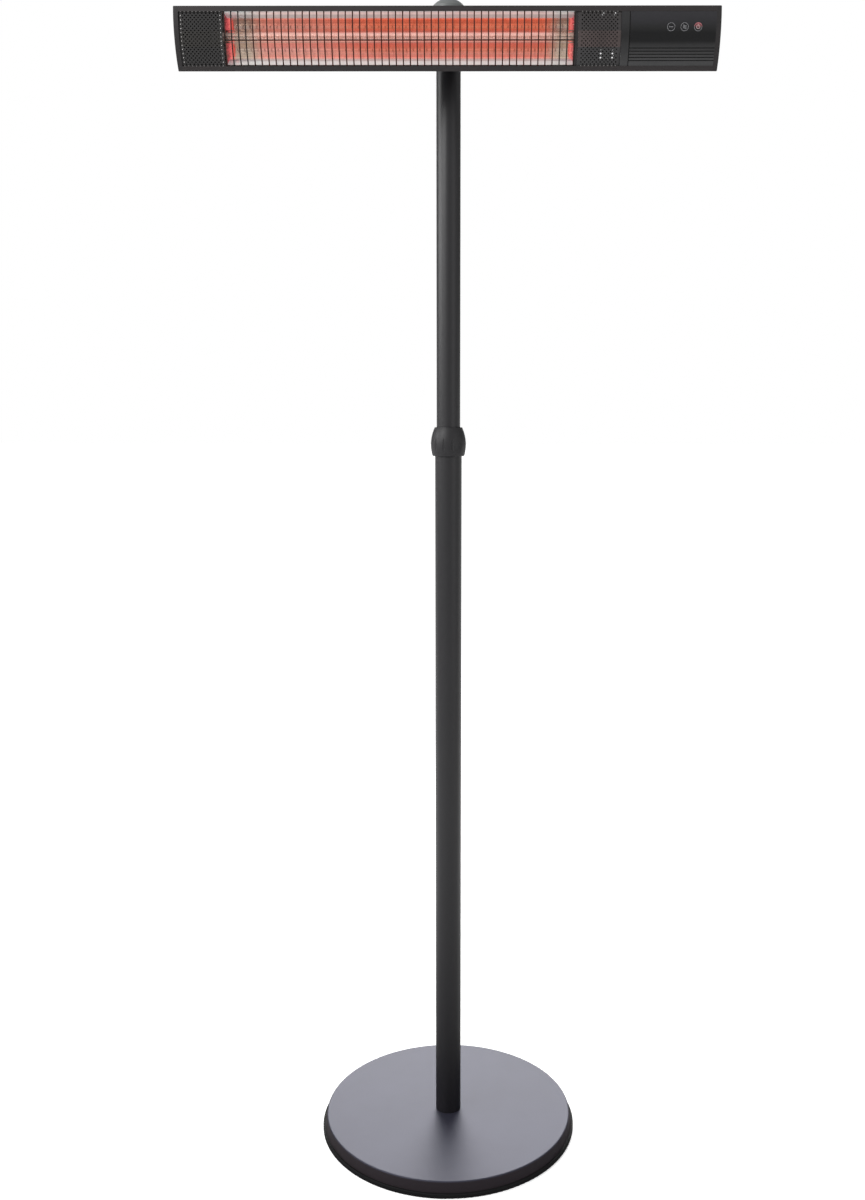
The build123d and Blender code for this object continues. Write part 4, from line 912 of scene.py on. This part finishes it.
def heating_coil():
    """The coil along the lamp's heated length, and its straight leads on the lamp's axis."""
    coil_r, wire_r, pitch, run_in = 3.2, 0.62, 3.1, 4.0
    sides, steps = 6, 12                # round the wire, and round each turn
    turns = round((CORE[1] - CORE[0]) / pitch)
    path = [Vector((x, LAMP_Y, LAMP_Z)) for x in (LEAD[0], CORE[0] - run_in)]
    for step in range(turns * steps + 1):
        turn = 2 * math.pi * step / steps
        grow = min(1.0, step / steps, (turns * steps - step) / steps)
        x = CORE[0] + (CORE[1] - CORE[0]) * step / (turns * steps)
        path.append(Vector((x, LAMP_Y + grow * coil_r * math.cos(turn),
                            LAMP_Z + grow * coil_r * math.sin(turn))))
    path.extend(Vector((x, LAMP_Y, LAMP_Z)) for x in (CORE[1] + run_in, LEAD[1]))
    return mesh_of("heating_coil", *tube_along(path, wire_r, sides))


in_head(heating_coil(), "coil", smooth=True, replaces=["lamp_core"])


# ---- signs of the keys: thin inlays that follow the bowed face
SIGN_TOP, SIGN_DEEP = FACE_R + 0.06, FACE_R - 0.25      # radii of their faces
RING_R, RING_W, LINE_W = 5.9, 0.5, 0.65
MARK_R, MARK_W = 2.7, 0.9           # the on and off sign
LIT_ANGLE = 85.0                    # its key's ring is red this far to each side of its top


def inlay(name, strips, finish):
    """Closed inlays from strips, each a pair of (x, z) lines and whether it closes on itself."""
    points, faces = [], []
    for one, other, closed in strips:
        count = len(one)
        first = len(points)
        for radius in (SIGN_TOP, SIGN_DEEP):
            for line in (one, other):
                points.extend((x, arc_y(radius, z), z) for x, z in line)
        lay = [first + count * row for row in range(4)]
        for step in range(count if closed else count - 1):
            after = (step + 1) % count
            for a, b in ((0, 1), (1, 3), (3, 2), (2, 0)):
                faces.append((lay[a] + step, lay[a] + after, lay[b] + after, lay[b] + step))
        if not closed:
            for step in (0, count - 1):
                faces.append(tuple(lay[row] + step for row in (0, 1, 3, 2)))
    in_head(mesh_of(name, points, faces), finish)


def arc_strip(x, z, radius, width, start=0.0, end=360.0, steps=40):
    """Arc of a flat ring, its angles in degrees clockwise from the top."""
    closed = end - start >= 360.0
    count = steps if closed else steps + 1
    lines = []
    for r in (radius - width / 2, radius + width / 2):
        angles = [math.radians(start + (end - start) * step / steps) for step in range(count)]
        lines.append([(x + r * math.sin(a), z + r * math.cos(a)) for a in angles])
    return lines[0], lines[1], closed


def bar_strip(x0, z0, x1, z1, width):
    """Straight bar between two points."""
    half = Vector((x1 - x0, z1 - z0)).normalized() * width / 2
    out = (-half.y, half.x)
    one = [(x0 + out[0], z0 + out[1]), (x1 + out[0], z1 + out[1])]
    other = [(x0 - out[0], z0 - out[1]), (x1 - out[0], z1 - out[1])]
    return one, other, False


def wave_strip(x, z, length, height, width, steps=20):
    """One whole wave that runs along X."""
    one, other = [], []
    for step in range(steps + 1):
        share = step / steps
        px = x + (share - 0.5) * length
        pz = z + height * math.sin(2 * math.pi * share)
        one.append((px, pz + width / 2))
        other.append((px, pz - width / 2))
    return one, other, False


def key_ring(x, *angles):
    """The ring of a key, or a part of it."""
    return arc_strip(x, KEY_Z, RING_R, RING_W, *angles)


LOW_X, HIGH_X, POWER_X = KEY_XS
inlay("sign_low", [key_ring(LOW_X),
                   bar_strip(LOW_X - 3.2, KEY_Z, LOW_X + 3.2, KEY_Z, LINE_W)], "ink")
inlay("sign_high", [key_ring(HIGH_X)]
      + [wave_strip(HIGH_X, KEY_Z + up, 5.6, 0.7, LINE_W) for up in (-1.9, 0.0, 1.9)], "ink")
inlay("sign_power", [key_ring(POWER_X, LIT_ANGLE, 360.0 - LIT_ANGLE)], "ink")
inlay("sign_power_top", [key_ring(POWER_X, -LIT_ANGLE, LIT_ANGLE)], "ink_lit")
inlay("sign_power_mark", [arc_strip(POWER_X, KEY_Z, MARK_R, MARK_W, 38.0, 322.0, 28),
                          bar_strip(POWER_X, KEY_Z + 0.6, POWER_X, KEY_Z + 3.9, MARK_W)],
      "ink_pink")


# ------------------------------------------------------------------ floor, light and camera
ROOM_GLOW = 0.45                        # the room's white, as it lights dull surfaces
FRONT_GLOW, SIDE_GLOW, BACK_GLOW = 0.75, 0.25, 1.0      # and as shiny ones mirror it
FRONT_SPAN, BACK_SPAN = (-0.2, 0.4), (0.84, 0.95)       # Y of the directions between these


def floor():
    """Plain pale floor that keeps the object's shadow and whitens away from it."""
    mesh = bpy.data.meshes.new("floor")
    size = 30.0
    mesh.from_pydata([(-size, -size, 0), (size, -size, 0), (size, size, 0), (-size, size, 0)],
                     [], [(0, 1, 2, 3)])
    piece = bpy.data.objects.new("floor", mesh)
    bpy.context.scene.collection.objects.link(piece)
    g = Graph("floor_pale", Roughness=0.9, Specular_IOR_Level=0.0,
              Emission_Color=(1.0, 1.0, 1.0, 1.0))
    x, y, _ = g.axes(g.coords())
    away = g.distance(x, y)
    rays = g.node("ShaderNodeLightPath").outputs
    # the camera sees it whiten outwards; mirrors see it bright behind, and darker near the foot as
    # a painted shade
    shown = g.math("MULTIPLY", rays["Is Camera Ray"], g.span(away, 0.6, 4.0, 0.5, 1.0))
    behind = g.math("ADD", g.span(y, 0.5, 2.5, 0.0, 0.5), g.span(away, 0.8, 1.4, 0.0, 0.2))
    indirect = g.math("MAXIMUM", rays["Is Glossy Ray"], rays["Is Transmission Ray"])
    mirrored = g.math("MULTIPLY", indirect, behind)
    # painted shade: glossy rays see the floor darker near the foot
    mirror_shade_near = g.math("MULTIPLY", rays["Is Glossy Ray"], g.span(away, 0.5, 1.2, 1.0, 0.0))
    g.set(
        Base_Color=g.mix(mirror_shade_near, (0.78, 0.78, 0.78), (0.30, 0.30, 0.30)),
        Emission_Strength=g.math("ADD", shown, mirrored),
    )
    mesh.materials.append(g.mat)
    return piece


def studio_world():
    """White to the camera; shiny surfaces see it white behind, dim at the sides, pale in front."""
    world = bpy.data.worlds.new("studio")
    bpy.context.scene.world = world
    world.use_nodes = True
    tree = world.node_tree
    tree.nodes.clear()
    add, link = tree.nodes.new, tree.links.new

    def most(a, b):
        made = add("ShaderNodeMath")
        made.operation = "MAXIMUM"
        link(a, made.inputs[0])
        link(b, made.inputs[1])
        return made.outputs[0]

    def white(strength):
        made = add("ShaderNodeBackground")
        made.inputs["Color"].default_value = (1, 1, 1, 1)
        if isinstance(strength, float):
            made.inputs["Strength"].default_value = strength
        else:
            link(strength, made.inputs["Strength"])
        return made.outputs[0]

    def blend(factor, low, high):
        made = add("ShaderNodeMixShader")
        for value, socket in zip((factor, low, high), made.inputs):
            link(value, socket)
        return made.outputs[0]

    way = add("ShaderNodeSeparateXYZ")
    link(add("ShaderNodeTexCoord").outputs["Generated"], way.inputs[0])
    parts = []
    for values in ((*FRONT_SPAN, FRONT_GLOW, SIDE_GLOW), (*BACK_SPAN, 0.0, BACK_GLOW)):
        part = add("ShaderNodeMapRange")
        link(way.outputs["Y"], part.inputs["Value"])
        for name, value in zip(("From Min", "From Max", "To Min", "To Max"), values):
            part.inputs[name].default_value = value
        parts.append(part.outputs[0])
    path = add("ShaderNodeLightPath").outputs
    mirrors = most(path["Is Glossy Ray"], path["Is Transmission Ray"])
    unseen = blend(mirrors, white(ROOM_GLOW), white(most(*parts)))
    link(blend(path["Is Camera Ray"], unseen, white(1.0)),
         add("ShaderNodeOutputWorld").inputs["Surface"])


def softbox(name, at, aim, width, height, watts, spread=180.0):
    """Oblong lamp at a place, turned to face another; its spread in degrees."""
    lamp = bpy.data.lights.new(name, "AREA")
    lamp.shape = "RECTANGLE"
    lamp.size, lamp.size_y = width, height
    lamp.energy = watts
    lamp.spread = math.radians(spread)
    piece = bpy.data.objects.new(name, lamp)
    bpy.context.scene.collection.objects.link(piece)
    piece.location = at
    piece.rotation_euler = (Vector(aim) - Vector(at)).to_track_quat("-Z", "Y").to_euler()
    return piece


# The photograph's view, as it was fitted: metres, degrees and millimetres.
CAMERA_AT = (0.04, -2.254, 1.419)
CAMERA_DOWN, CAMERA_LEFT, CAMERA_ROLL = 9.6, 0.5, 0.1
LENS, SENSOR = 37.5, 36.0
PHOTO_H, PHOTO_SHIFT = 1200, -27.0      # the photograph's height and its view's shift, in pixels


def camera():
    """The photograph's view: from the front and 4 cm to the right, looking down a little."""
    lens = bpy.data.cameras.new("view")
    lens.sensor_fit = "VERTICAL"
    lens.sensor_height = SENSOR
    lens.sensor_width = SENSOR
    lens.lens = LENS
    lens.shift_x = PHOTO_SHIFT / PHOTO_H
    piece = bpy.data.objects.new("view", lens)
    bpy.context.scene.collection.objects.link(piece)
    turn, pitch, roll = (
        math.radians(angle) for angle in (CAMERA_LEFT, 90.0 - CAMERA_DOWN, CAMERA_ROLL))
    piece.matrix_world = (
        Matrix.Translation(CAMERA_AT) @ Matrix.Rotation(turn, 4, "Z")
        @ Matrix.Rotation(pitch, 4, "X") @ Matrix.Rotation(roll, 4, "Z"))
    bpy.context.scene.camera = piece


stage_floor = floor()
studio_world()

# Each lamp's place and aim, width and height, all in metres, and its watts.
softbox("key", (-2.4, -2.6, 3.4), (0, 0, 1.2), 2.0, 2.0, 110)
side_lamp = softbox("side", (-3.2, -0.3, 2.25), (0, 0, 1.75), 2.6, 0.9, 50)
softbox("fill", (2.8, -2.4, 1.6), (0, 0, 1.0), 2.0, 2.4, 12)
softbox("back", (0.0, 3.2, 2.3), (0, 0, 0.03), 4.0, 2.2, 38, spread=60.0)

# The side lamp is flagged off the head, whose face it would sweep with a white glare.
EDGE_LIT = "base_cover base_rim lower_pole upper_pole height_collar tilt_socket mast_cap"
edge_lit = bpy.data.collections.new("edge_lit")
for name in EDGE_LIT.split():
    edge_lit.objects.link(NODES[name])
edge_lit.objects.link(stage_floor)
side_lamp.light_linking.receiver_collection = edge_lit

camera()
bpy.context.scene.view_settings.view_transform = "Standard"
